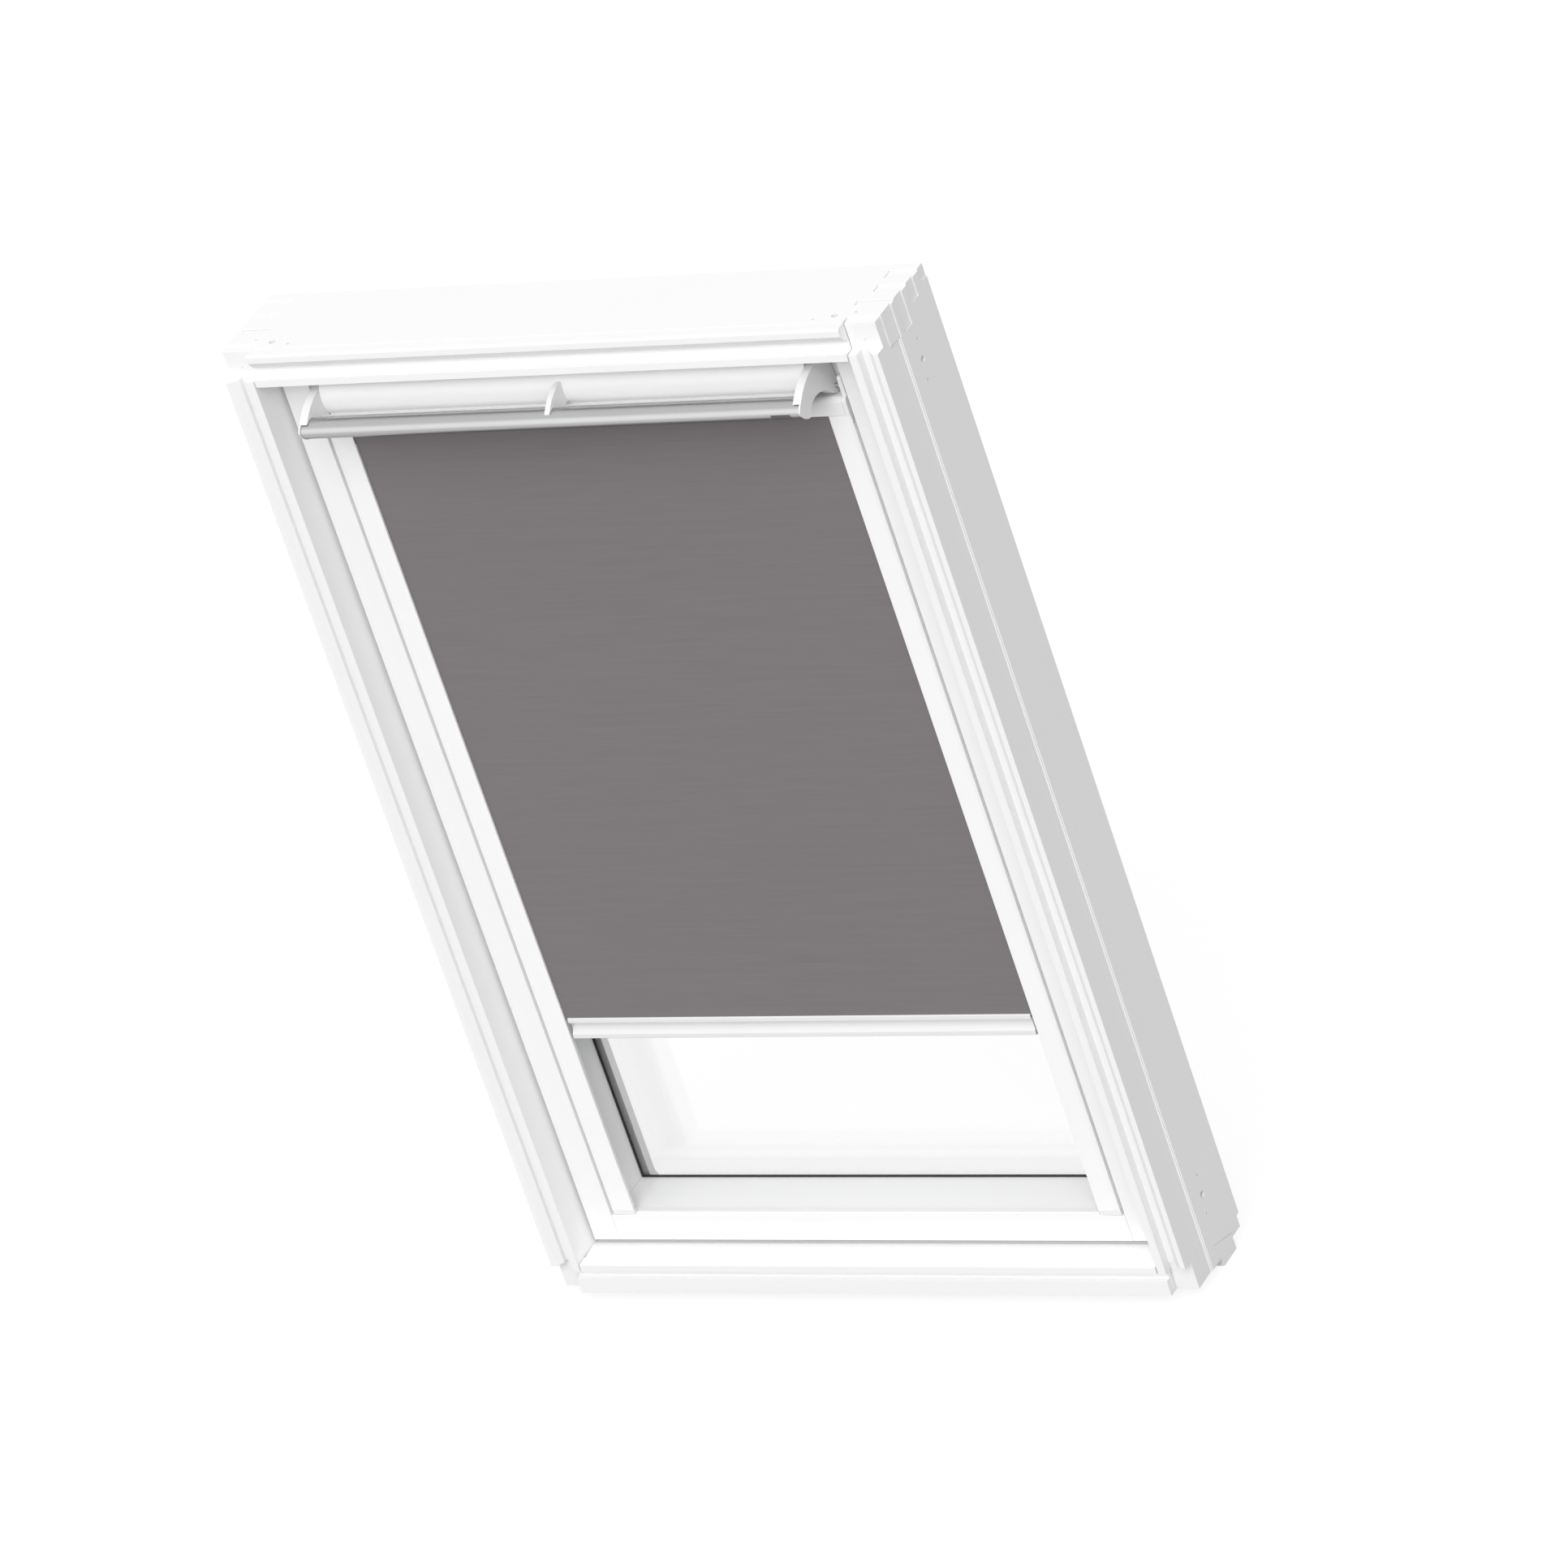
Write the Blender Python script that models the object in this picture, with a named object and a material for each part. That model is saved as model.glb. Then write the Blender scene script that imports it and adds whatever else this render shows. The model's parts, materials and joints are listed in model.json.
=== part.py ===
"""Centre-pivot roof window with a blackout roller blind fitted in its sash.

Metres, +Z up, the room on the -Y side.  The origin is under the middle of the window, at the
height of the sill's drip nose.  Sections are written as (depth, drop) pairs: depth goes outward
from the frame's room face, drop goes down from the frame's top face.
"""
from math import cos, pi, radians, sin

import bmesh
import bpy

# Clearance between pieces that touch, and between a turning pin and its bore
GAP = 0.0003

# Frame, as it is ordered
FRAME_WIDTH = 0.780
FRAME_HEIGHT = 1.178
FRAME_DEPTH = 0.1266
DRIP_NOSE = 0.0105

# Side members: outer strip, groove for the lining board, inner strip, then the tapered jamb
SIDE_FACE = 0.036
SIDE_OUTER_STRIP = 0.008
SIDE_INNER_STRIP = 0.0092
STRIP_SPLAY = 0.0075
SPLAY_DEPTH = 0.0065
GROOVE_DEPTH = 0.012
JAMB_TAPER = 0.0056
JAMB_DEPTH = 0.0585
REAR_WALL = 0.0325
DRIP_CUT = 0.001
DRIP_CUT_DEPTH = 0.0442
DRIP_CUT_WIDTH = 0.0028

# Head member: like the sides, stepped down towards the weather
HEAD_FACE = 0.0372
HEAD_OUTER_STRIP = 0.0088
HEAD_INNER_STRIP = 0.008
HEAD_CHAMFER = 0.0019
HEAD_TAPER = 0.0013
HEAD_MID_WALL = 0.022
HEAD_REAR_WALL = 0.0142
HEAD_LINE_DEPTH = 0.0154
HEAD_LINE_WIDTH = 0.0006

# Sill member: strips and a shallow groove in front, a ridge, then the slope to the drip nose
SILL_FACE = 0.0358
SILL_OUTER_STRIP = 0.0185
SILL_INNER_STRIP = 0.0083
SILL_GROOVE_DEPTH = 0.0066
SILL_RISE = 0.0041
RIDGE_DEPTH = 0.046
RIDGE_FALL = 0.0016
SLOPE_START = 0.0623
SLOPE_HEIGHT = 0.020
SLOPE_FALL = 0.011
SILL_DEPTH = 0.1014
NOSE_WIDTH = 0.032

# Corner comb joints: where each finger of a side member starts and ends in depth
STRIP_STOP = 0.0303
STUB_DEPTH = 0.0136
STUB_BACK = 0.0255
FINGER_2 = (0.0481, 0.0553)
FINGER_3 = (0.0738, 0.0859)
LAST_NOTCH = 0.0133
LAST_FINGER = 0.0129
FINGER_4 = (FRAME_DEPTH - LAST_FINGER - LAST_NOTCH, FRAME_DEPTH - LAST_FINGER)
FINGER_SET = 0.0012
FOOT_STUB_BACK = 0.0288
FOOT_FINGER = (0.0438, 0.0623)
FOOT_REAR_CUT = 0.0042
FOOT_TAIL_WIDTH = 0.0056
FOOT_TAIL_CUT = 0.0175
FOOT_STRIP_END = 0.029

# Holes for the roof brackets
SCREW_HOLE = 0.0016
PEG_HOLE = 0.0038
HOLE_DEPTH = 0.010
HOLE_PITCH = 0.0224
HOLE_DROP = 0.0569
HOLE_BACK = 0.0744
HOLE_SLANT = 0.0026
HOLE_SIDES = 14
TOP_HOLE_INSET = 0.033
TOP_HOLE_DEPTH = 0.0347
TOP_HOLE_SLANT = 0.0056
STUB_HOLE = 0.0008
STUB_HOLE_INSET = 0.0195
STUB_HOLE_DROP = 0.0205
STUB_HOLE_LENGTH = 0.004

# Sash
SASH_INSET = 0.044
SASH_DROP = 0.046
SASH_FOOT = 0.0458
SASH_FRONT = 0.0344
STILE_FACE = 0.0313
RAIL_FACE = 0.0317
REVEAL_SPLAY = 0.0087
RAIL_SPLAY = 0.005
STILE_STOP = 0.0767
POCKET_DEPTH = 0.054
TOP_RAIL_DROP = 0.0987
REBATE = 0.015
PANE_PLAY = 0.002
GLASS_DEPTH = 0.101
PANE_THICKNESS = 0.004
CAVITY = 0.012
SPACER_SHOW = 0.004
SPACER_WIDTH = 0.010
GASKET_WIDTH = 0.0018
GASKET_DEPTH = 0.0025
COVER_THICKNESS = 0.005
COVER_BEVEL = 0.002

# Pivots and seals
PIVOT_DEPTH = 0.072
PIN_RADIUS = 0.008
PIN_LENGTH = 0.0078
SOCKET_LENGTH = 0.120
SOCKET_WIDTH = 0.0225
SOCKET_REACH = 0.0079
PLATE_LENGTH = 0.140
PLATE_WIDTH = 0.0334
PLATE_THICKNESS = 0.0054
BUSH_WALL = 0.0022
SEAL_DEPTH = 0.090
SEAL_WIDTH = 0.009
SEAL_GAP = 0.0006
SEAL_SHOULDER = 0.001
HEAD_SEAL_DEPTH = 0.0615
HEAD_SEAL_HEIGHT = 0.0026
SILL_SEAL_DEPTH = 0.0375
SILL_SEAL_WIDTH = 0.0072
SILL_SEAL_HEIGHT = 0.0042

# Flap hinge, brackets and control bar: the end brackets are open behind the bar, for the fingers
HINGE_DEPTH = 0.046
HINGE_DROP = 0.090
HINGE_PIN = 0.0025
HINGE_LUG = 0.0065
BRACKET_INSET = 0.0163
BRACKET_WIDTH = 0.0094
BRACKET_DROP = 0.0492
BRACKET_BEHIND = 0.0053
BRACKET_BELOW = 0.0074
END_CAP = 0.0018
MIDDLE_BRACKET = 0.006
BAR_REACH = 0.0315
BAR_COVER = 0.0011
BAR_DROP = 0.0774
BAR_THICKNESS = 0.0203
BAR_HEIGHT = 0.0213
BAR_ROOM = 0.0081

# Ventilation flap: an oval front above a lip, open behind
FLAP_FRONT = 0.0155
FLAP_ROUND = 0.0085
FLAP_BACK = 0.0355
FLAP_TOP = 0.0443
FLAP_FOOT = 0.070
FLAP_WALL = 0.0025
FLAP_LEG = 0.0042
FLAP_LIP = 0.010
FLAP_LIP_DROP = 0.0767
FLAP_LIP_THICKNESS = 0.0031
FLAP_LIP_EDGE = 0.001
FLAP_SEAL_WIDTH = 0.0052
FLAP_SEAL_TIP = 0.0022
FLAP_SEAL_GAP = 0.0006

# Latch
BOLT_WIDTH = 0.016
BOLT_THICKNESS = 0.005
BOLT_DEPTH = 0.0455
BOLT_DROP = 0.0429
BOLT_LENGTH = 0.046
CASE_WIDTH = 0.080
CASE_HEIGHT = 0.032
CASE_THICKNESS = 0.0137
CASE_DROP = 0.052
KEEPER_WIDTH = 0.060
KEEPER_THICKNESS = 0.002
KEEPER_LENGTH = 0.020
MORTISE = 0.010
BOLT_PLAY = 0.0009

# Blind casing and roller
CASING_FRONT = 0.0345
CASING_DEPTH = 0.0315
CASING_WALL = 0.0018
APRON = 0.0205
CASING_REAR = 0.031
CASING_CORNER = 0.006
CASING_END_INSET = 0.0055
CLOTH_DEPTH = 0.0381
CLOTH_THICKNESS = 0.0005
CLOTH_TUCK = 0.0175
TUBE_RADIUS = 0.009
TUBE_WALL = 0.0012
ROLL_RADIUS = 0.0112
ROLLER_DROP = 0.114
SHAFT_RADIUS = 0.0025
SHAFT_LENGTH = 0.160
PLUG_LENGTH = 0.012
PLUG_FLANGE = 0.0015
SPRING_WIRE = 0.0006
SPRING_PITCH = 0.0045
SPRING_TURNS = 30

# Side channels and pull bar
CHANNEL_INSET = 0.004
CHANNEL_FACE = 0.0262
CHANNEL_EDGE = 0.0005
CHANNEL_RETURN = 0.002
CHANNEL_FRONT = 0.0346
CHANNEL_SLOPE = 0.0015
SLOT_FRONT = 0.0375
SLOT_WIDTH = 0.0024
CHANNEL_LIP = 0.0016
CHANNEL_WEB = 0.0047
CHANNEL_FOOT = 0.006
CHANNEL_BACK = 0.056
CATCH_INSET = 0.002
CATCH_HEIGHT = 0.0025
CATCH_DEPTH = 0.008
CATCH_EDGE = 0.001
BAR_DOWN = 0.8465
PULL_BAR_HEIGHT = 0.0262
PULL_BAR_FRONT = 0.0358
PULL_BAR_THICKNESS = 0.0062
PULL_BAR_TOP_LIP = 0.0055
PULL_BAR_LOW_LIP = 0.0057
PULL_BAR_HOLLOW = 0.0034
PULL_BAR_EDGE = 0.001
PULL_BAR_PLAY = 0.003
GLIDE_REACH = 0.019
GLIDE_PLATE = 0.0022
GLIDE_HEIGHT = 0.019
GLIDE_SET = 0.0005
HEM = 0.0032

# Places worked out from the sizes above
ROOM_FACE_Y = -(FRAME_DEPTH - BAR_REACH) / 2
TOP_Z = DRIP_NOSE + FRAME_HEIGHT
HALF_WIDTH = FRAME_WIDTH / 2
SASH_HALF = HALF_WIDTH - SASH_INSET
STILE_INNER = SASH_HALF - STILE_FACE
SIGHT_HALF = STILE_INNER - REVEAL_SPLAY
SASH_BOTTOM_DROP = FRAME_HEIGHT - SASH_FOOT
RAIL_TOP_DROP = SASH_BOTTOM_DROP - RAIL_FACE
SIGHT_BOTTOM_DROP = RAIL_TOP_DROP - RAIL_SPLAY
UNIT_BACK = GLASS_DEPTH + 2 * PANE_THICKNESS + CAVITY
JAMB_HALF = HALF_WIDTH - SIDE_FACE - JAMB_TAPER
REAR_HALF = HALF_WIDTH - REAR_WALL
PIVOT_DROP = (SASH_DROP + SASH_BOTTOM_DROP) / 2
CHANNEL_OUT = STILE_INNER - CHANNEL_INSET
CHANNEL_HALF_GAP = CHANNEL_OUT - CHANNEL_FACE
BRACKET_OUTER = STILE_INNER - BRACKET_INSET
BRACKET_INNER = BRACKET_OUTER - BRACKET_WIDTH
BRACKET_LENGTH = BAR_REACH + HINGE_DEPTH + BRACKET_BEHIND
BRACKET_HEIGHT = HINGE_DROP + BRACKET_BELOW - BRACKET_DROP
CASING_DROP = TOP_RAIL_DROP + GAP
CASING_BACK = CASING_FRONT + CASING_DEPTH
CASING_HALF = CHANNEL_OUT - CASING_END_INSET
CLOTH_HALF_WIDTH = CHANNEL_HALF_GAP + CLOTH_TUCK
ROLLER_DEPTH = CLOTH_DEPTH + CLOTH_THICKNESS / 2 + GAP + ROLL_RADIUS
TUBE_HALF = CASING_HALF - PLUG_FLANGE - 3 * GAP
PULL_BAR_HALF = CHANNEL_HALF_GAP - PULL_BAR_PLAY

# How far a cutting tool runs past what it cuts
CLEAR = 0.050


def y_at(depth):
    """Y of a plane that lies this far outward from the frame's room face."""
    return ROOM_FACE_Y + depth


def z_at(drop):
    """Z of a plane that lies this far below the frame's top face."""
    return TOP_Z - drop


def section(points):
    """(depth, drop) pairs as (y, z) pairs."""
    return [(y_at(depth), z_at(drop)) for depth, drop in points]


def plan(points):
    """(half width, depth) pairs as (x, y) pairs."""
    return [(half, y_at(depth)) for half, depth in points]


def rectangle(low_a, high_a, low_b, high_b):
    """A rectangle's four corners."""
    return [(low_a, low_b), (high_a, low_b), (high_a, high_b), (low_a, high_b)]


def arc(centre, radius, start, end, steps):
    """Points on a circle, angles in degrees."""
    angles = [radians(start + (end - start) * i / steps) for i in range(steps + 1)]
    return [(centre[0] + radius * cos(a), centre[1] + radius * sin(a)) for a in angles]


def circle(centre, radius, sides=32):
    """A regular polygon whose corners lie on the circle."""
    return arc(centre, radius, 0, 360 * (sides - 1) / sides, sides - 1)


def flowing(points, steps=3):
    """A closed smooth line through the points (Catmull-Rom)."""
    line = []
    count = len(points)
    for i in range(count):
        before, here, after, beyond = (points[(i + k) % count] for k in (-1, 0, 1, 2))
        for step in range(steps):
            t = step / steps
            line.append(tuple(
                0.5 * (2 * here[k] + (after[k] - before[k]) * t
                       + (2 * before[k] - 5 * here[k] + 4 * after[k] - beyond[k]) * t ** 2
                       + (3 * here[k] - before[k] - 3 * after[k] + beyond[k]) * t ** 3)
                for k in (0, 1)))
    return line


def grown(points, distance):
    """A closed outline moved outward by the distance at each corner."""
    count = len(points)
    area = sum(points[i][0] * points[(i + 1) % count][1] - points[(i + 1) % count][0] * points[i][1]
               for i in range(count))
    turn = 1 if area > 0 else -1
    moved = []
    for i in range(count):
        before, here, after = points[i - 1], points[i], points[(i + 1) % count]
        normals = []
        for a, b in ((before, here), (here, after)):
            length = ((b[0] - a[0]) ** 2 + (b[1] - a[1]) ** 2) ** 0.5
            normals.append((turn * (b[1] - a[1]) / length, -turn * (b[0] - a[0]) / length))
        mid = (normals[0][0] + normals[1][0], normals[0][1] + normals[1][1])
        square = mid[0] ** 2 + mid[1] ** 2
        moved.append((here[0] + 2 * distance * mid[0] / square, here[1] + 2 * distance * mid[1] / square))
    return moved


def finish(name, colour, roughness, metallic=0.0):
    """A Principled material."""
    material = bpy.data.materials.new(name)
    material.use_nodes = True
    shader = material.node_tree.nodes["Principled BSDF"]
    shader.inputs["Base Color"].default_value = (*colour, 1.0)
    shader.inputs["Roughness"].default_value = roughness
    shader.inputs["Metallic"].default_value = metallic
    return material


def empty(name, y, z, parent=None):
    """An empty on a joint's axis, for the pieces that move about it."""
    guide = bpy.data.objects.new(name, None)
    guide.location = (0, y, z)
    if parent is not None:
        guide.parent = parent
        guide.location = (0, y - parent.location.y, z - parent.location.z)
    bpy.context.collection.objects.link(guide)
    return guide


def carrier_place(carrier):
    """World place of an empty, from its own location and its parent's."""
    place = carrier.location.copy()
    if carrier.parent is not None:
        place += carrier.parent.location
    return place


def extrude(name, outlines, axis, low, high, material=None, carrier=None):
    """Outlines extruded along one axis, each into a closed solid.

    Outlines are (y, z) pairs along X, (x, z) pairs along Y and (x, y) pairs along Z.
    """
    across = {"x": (1, 2), "y": (0, 2), "z": (0, 1)}[axis]
    along = "xyz".index(axis)
    bm = bmesh.new()
    for outline in outlines:
        corners = []
        for point in outline:
            place = [0.0, 0.0, 0.0]
            place[across[0]], place[across[1]] = point
            place[along] = low
            corners.append(bm.verts.new(place))
        face = bm.faces.new(corners)
        lifted = bmesh.ops.extrude_face_region(bm, geom=[face])["geom"]
        shift = [0.0, 0.0, 0.0]
        shift[along] = high - low
        raised = [item for item in lifted if isinstance(item, bmesh.types.BMVert)]
        bmesh.ops.translate(bm, verts=raised, vec=shift)
    bmesh.ops.recalc_face_normals(bm, faces=bm.faces)
    return add_object(name, bm, material, carrier)


def add_object(name, bm, material, carrier=None):
    """Make the mesh an object; its origin is its carrier's place."""
    if carrier is not None:
        bmesh.ops.translate(bm, verts=bm.verts, vec=-carrier_place(carrier))
    mesh = bpy.data.meshes.new(name)
    bm.to_mesh(mesh)
    bm.free()
    mesh.shade_smooth()
    mesh.set_sharp_from_angle(angle=radians(30))
    piece = bpy.data.objects.new(name, mesh)
    if material is not None:
        mesh.materials.append(material)
    if carrier is not None:
        piece.parent = carrier
    bpy.context.collection.objects.link(piece)
    return piece


def ring(name, outer, inner, low, high, material, carrier):
    """A frame-shaped solid along Y, between an outer and an inner (x, z) rectangle."""
    bm = bmesh.new()
    loops = []
    for outline in (outer, inner):
        corners = [bm.verts.new((x, low, z)) for x, z in outline]
        loops.append([bm.edges.new((corners[i - 1], corners[i])) for i in range(len(corners))])
    bmesh.ops.bridge_loops(bm, edges=loops[0] + loops[1])
    lifted = bmesh.ops.extrude_face_region(bm, geom=bm.faces[:])["geom"]
    raised = [item for item in lifted if isinstance(item, bmesh.types.BMVert)]
    bmesh.ops.translate(bm, verts=raised, vec=(0, high - low, 0))
    bmesh.ops.recalc_face_normals(bm, faces=bm.faces)
    return add_object(name, bm, material, carrier)


def turned(name, profile, centre, material, carrier, steps=32):
    """A closed (x, radius) profile spun about an axis along X through the centre (y, z)."""
    bm = bmesh.new()
    corners = [bm.verts.new((x, centre[0], centre[1] + radius)) for x, radius in profile]
    edges = [bm.edges.new((corners[i - 1], corners[i])) for i in range(len(corners))]
    bmesh.ops.spin(bm, geom=corners + edges, cent=(0, *centre), axis=(1, 0, 0), angle=2 * pi,
                   steps=steps, use_merge=True)
    bmesh.ops.recalc_face_normals(bm, faces=bm.faces)
    return add_object(name, bm, material, carrier)


def combine(target, tool, operation):
    """Add a Boolean to the target; the tool is kept as a hidden guide."""
    tool.hide_render = True
    tool.display_type = "WIRE"
    if target.parent is not None and tool.parent is None:
        tool.location = -carrier_place(target.parent)
        tool.parent = target.parent
    modifier = target.modifiers.new(tool.name, "BOOLEAN")
    modifier.operation = operation
    modifier.solver = "EXACT"
    modifier.object = tool


def cut(target, tool):
    """Take the tool's volume away from the target."""
    combine(target, tool, "DIFFERENCE")


def add(target, tool):
    """Make the tool's volume part of the target."""
    combine(target, tool, "UNION")


def side_name(side):
    """The room's left is at -X."""
    return "left" if side < 0 else "right"


def span(side, near, far):
    """Low and high X of a stretch between two half widths, on one side."""
    return sorted((side * near, side * far))


def sill_top(depth):
    """Drop of the sill's upper surface, from the ridge back to the drip nose."""
    if depth <= SASH_FRONT:
        return FRAME_HEIGHT - SILL_FACE - SILL_RISE * depth / SASH_FRONT
    if depth <= RIDGE_DEPTH:
        past = (depth - SASH_FRONT) / (RIDGE_DEPTH - SASH_FRONT)
        return FRAME_HEIGHT - SILL_FACE - SILL_RISE + RIDGE_FALL * past
    run = max(0.0, depth - SLOPE_START) / (SILL_DEPTH - SLOPE_START)
    return FRAME_HEIGHT - SLOPE_HEIGHT + SLOPE_FALL * run


def jamb_half(depth):
    """Half width of the opening between the side members, at this depth."""
    if depth >= JAMB_DEPTH:
        return REAR_HALF
    return HALF_WIDTH - SIDE_FACE - JAMB_TAPER * min(1.0, depth / FINGER_2[0])


def head_drop(depth):
    """Drop of the head's underside in front of its first step."""
    return HEAD_FACE + HEAD_TAPER * depth / FINGER_3[0]


def reveal_half(depth):
    """Half width between the stiles' splayed inner faces."""
    run = (depth - SASH_FRONT) / (GLASS_DEPTH - SASH_FRONT)
    return STILE_INNER - REVEAL_SPLAY * run


def build_head(material):
    """Head member, with its comb fingers reaching out to the side faces."""
    groove_start = HEAD_OUTER_STRIP + STRIP_SPLAY + DRIP_CUT
    line = (HEAD_LINE_DEPTH, HEAD_LINE_DEPTH + HEAD_LINE_WIDTH / 2, HEAD_LINE_DEPTH + HEAD_LINE_WIDTH)
    outline = section([
        (0, HEAD_CHAMFER), (HEAD_CHAMFER, 0), (line[0], 0), (line[1], HEAD_LINE_WIDTH), (line[2], 0),
        (FRAME_DEPTH, 0), (FRAME_DEPTH, HEAD_REAR_WALL),
        (FINGER_4[0], HEAD_REAR_WALL), (FINGER_4[0], HEAD_MID_WALL), (FINGER_3[0], HEAD_MID_WALL),
        (FINGER_3[0], HEAD_FACE + HEAD_TAPER), (0, HEAD_FACE), (0, HEAD_FACE - HEAD_INNER_STRIP),
        (GROOVE_DEPTH, HEAD_FACE - HEAD_INNER_STRIP), (GROOVE_DEPTH, groove_start),
        (SPLAY_DEPTH, groove_start), (0, HEAD_OUTER_STRIP)])
    head = extrude("frame_head", [outline], "x", -HALF_WIDTH, HALF_WIDTH, material)
    for side in (-1, 1):
        strip_end = side * (jamb_half(STUB_DEPTH) - GAP)
        stub_wall = side * (jamb_half(STUB_BACK) - GAP)
        beyond = side * (HALF_WIDTH + CLEAR)
        outlines = [plan([
            (strip_end, -CLEAR), (beyond, -CLEAR), (beyond, STUB_BACK + GAP),
            (stub_wall, STUB_BACK + GAP), (stub_wall, STUB_DEPTH - GAP), (strip_end, STUB_DEPTH - GAP)])]
        for finger in (FINGER_2, FINGER_3, FINGER_4):
            wall = side * (jamb_half(finger[1]) - GAP)
            low, high = sorted((wall, beyond))
            outlines.append(rectangle(low, high, y_at(finger[0] - GAP), y_at(finger[1] + GAP)))
        comb = extrude("head_comb_" + side_name(side), outlines, "z", z_at(HEAD_FACE + CLEAR), z_at(-CLEAR))
        cut(head, comb)
        for number in range(3):
            centre = (side * (HALF_WIDTH - TOP_HOLE_INSET - number * HOLE_PITCH),
                      y_at(TOP_HOLE_DEPTH - number * TOP_HOLE_SLANT))
            radius = PEG_HOLE if number == 1 else SCREW_HOLE
            drill = extrude("head_hole_%s_%d" % (side_name(side), number),
                            [circle(centre, radius, HOLE_SIDES)], "z", z_at(HOLE_DEPTH), z_at(-CLEAR))
            cut(head, drill)
    mortise = extrude("head_mortise", [grown(bolt_outline(), BOLT_PLAY)], "z",
                      z_at(HEAD_FACE + CLEAR), z_at(HEAD_FACE - MORTISE))
    cut(head, mortise)


def build_sill(material):
    """Sill member, with the groove, the ridge that the sash closes over, and the drip nose."""
    foot = FRAME_HEIGHT
    outline = section([
        (0, foot), (0, foot - SILL_OUTER_STRIP), (SILL_GROOVE_DEPTH, foot - SILL_OUTER_STRIP),
        (SILL_GROOVE_DEPTH, foot - SILL_FACE + SILL_INNER_STRIP), (0, foot - SILL_FACE + SILL_INNER_STRIP),
        (0, sill_top(0)), (SASH_FRONT, sill_top(SASH_FRONT)), (RIDGE_DEPTH, sill_top(RIDGE_DEPTH)),
        (RIDGE_DEPTH + GAP, foot - SLOPE_HEIGHT), (SLOPE_START, sill_top(SLOPE_START)),
        (SILL_DEPTH, sill_top(SILL_DEPTH)), (SILL_DEPTH, foot + DRIP_NOSE),
        (SILL_DEPTH - NOSE_WIDTH, foot + DRIP_NOSE), (SILL_DEPTH - NOSE_WIDTH, foot)])
    sill = extrude("frame_sill", [outline], "x", -HALF_WIDTH, HALF_WIDTH, material)
    for side in (-1, 1):
        beyond = side * (HALF_WIDTH + CLEAR)
        inner_end = side * (jamb_half(STUB_DEPTH) - GAP)
        outer_end = side * (HALF_WIDTH - FOOT_STRIP_END)
        notch = z_at(foot - SILL_FACE + SILL_INNER_STRIP)
        front = extrude("sill_end_" + side_name(side), [[
            (inner_end, z_at(foot - SILL_FACE - CLEAR)), (beyond, z_at(foot - SILL_FACE - CLEAR)),
            (beyond, z_at(foot + CLEAR)), (outer_end, z_at(foot + CLEAR)), (outer_end, notch),
            (inner_end, notch)]], "y", y_at(-CLEAR), y_at(STUB_DEPTH - GAP))
        cut(sill, front)
        outlines = []
        for start, end in ((STUB_DEPTH - 2 * GAP, FOOT_STUB_BACK), FOOT_FINGER):
            low, high = sorted((side * (jamb_half(min(end, RIDGE_DEPTH)) - GAP), beyond))
            outlines.append(rectangle(low, high, y_at(start - GAP), y_at(end + GAP)))
        comb = extrude("sill_comb_" + side_name(side), outlines, "z", z_at(foot + CLEAR),
                       z_at(foot - SILL_FACE - CLEAR))
        cut(sill, comb)


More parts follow.
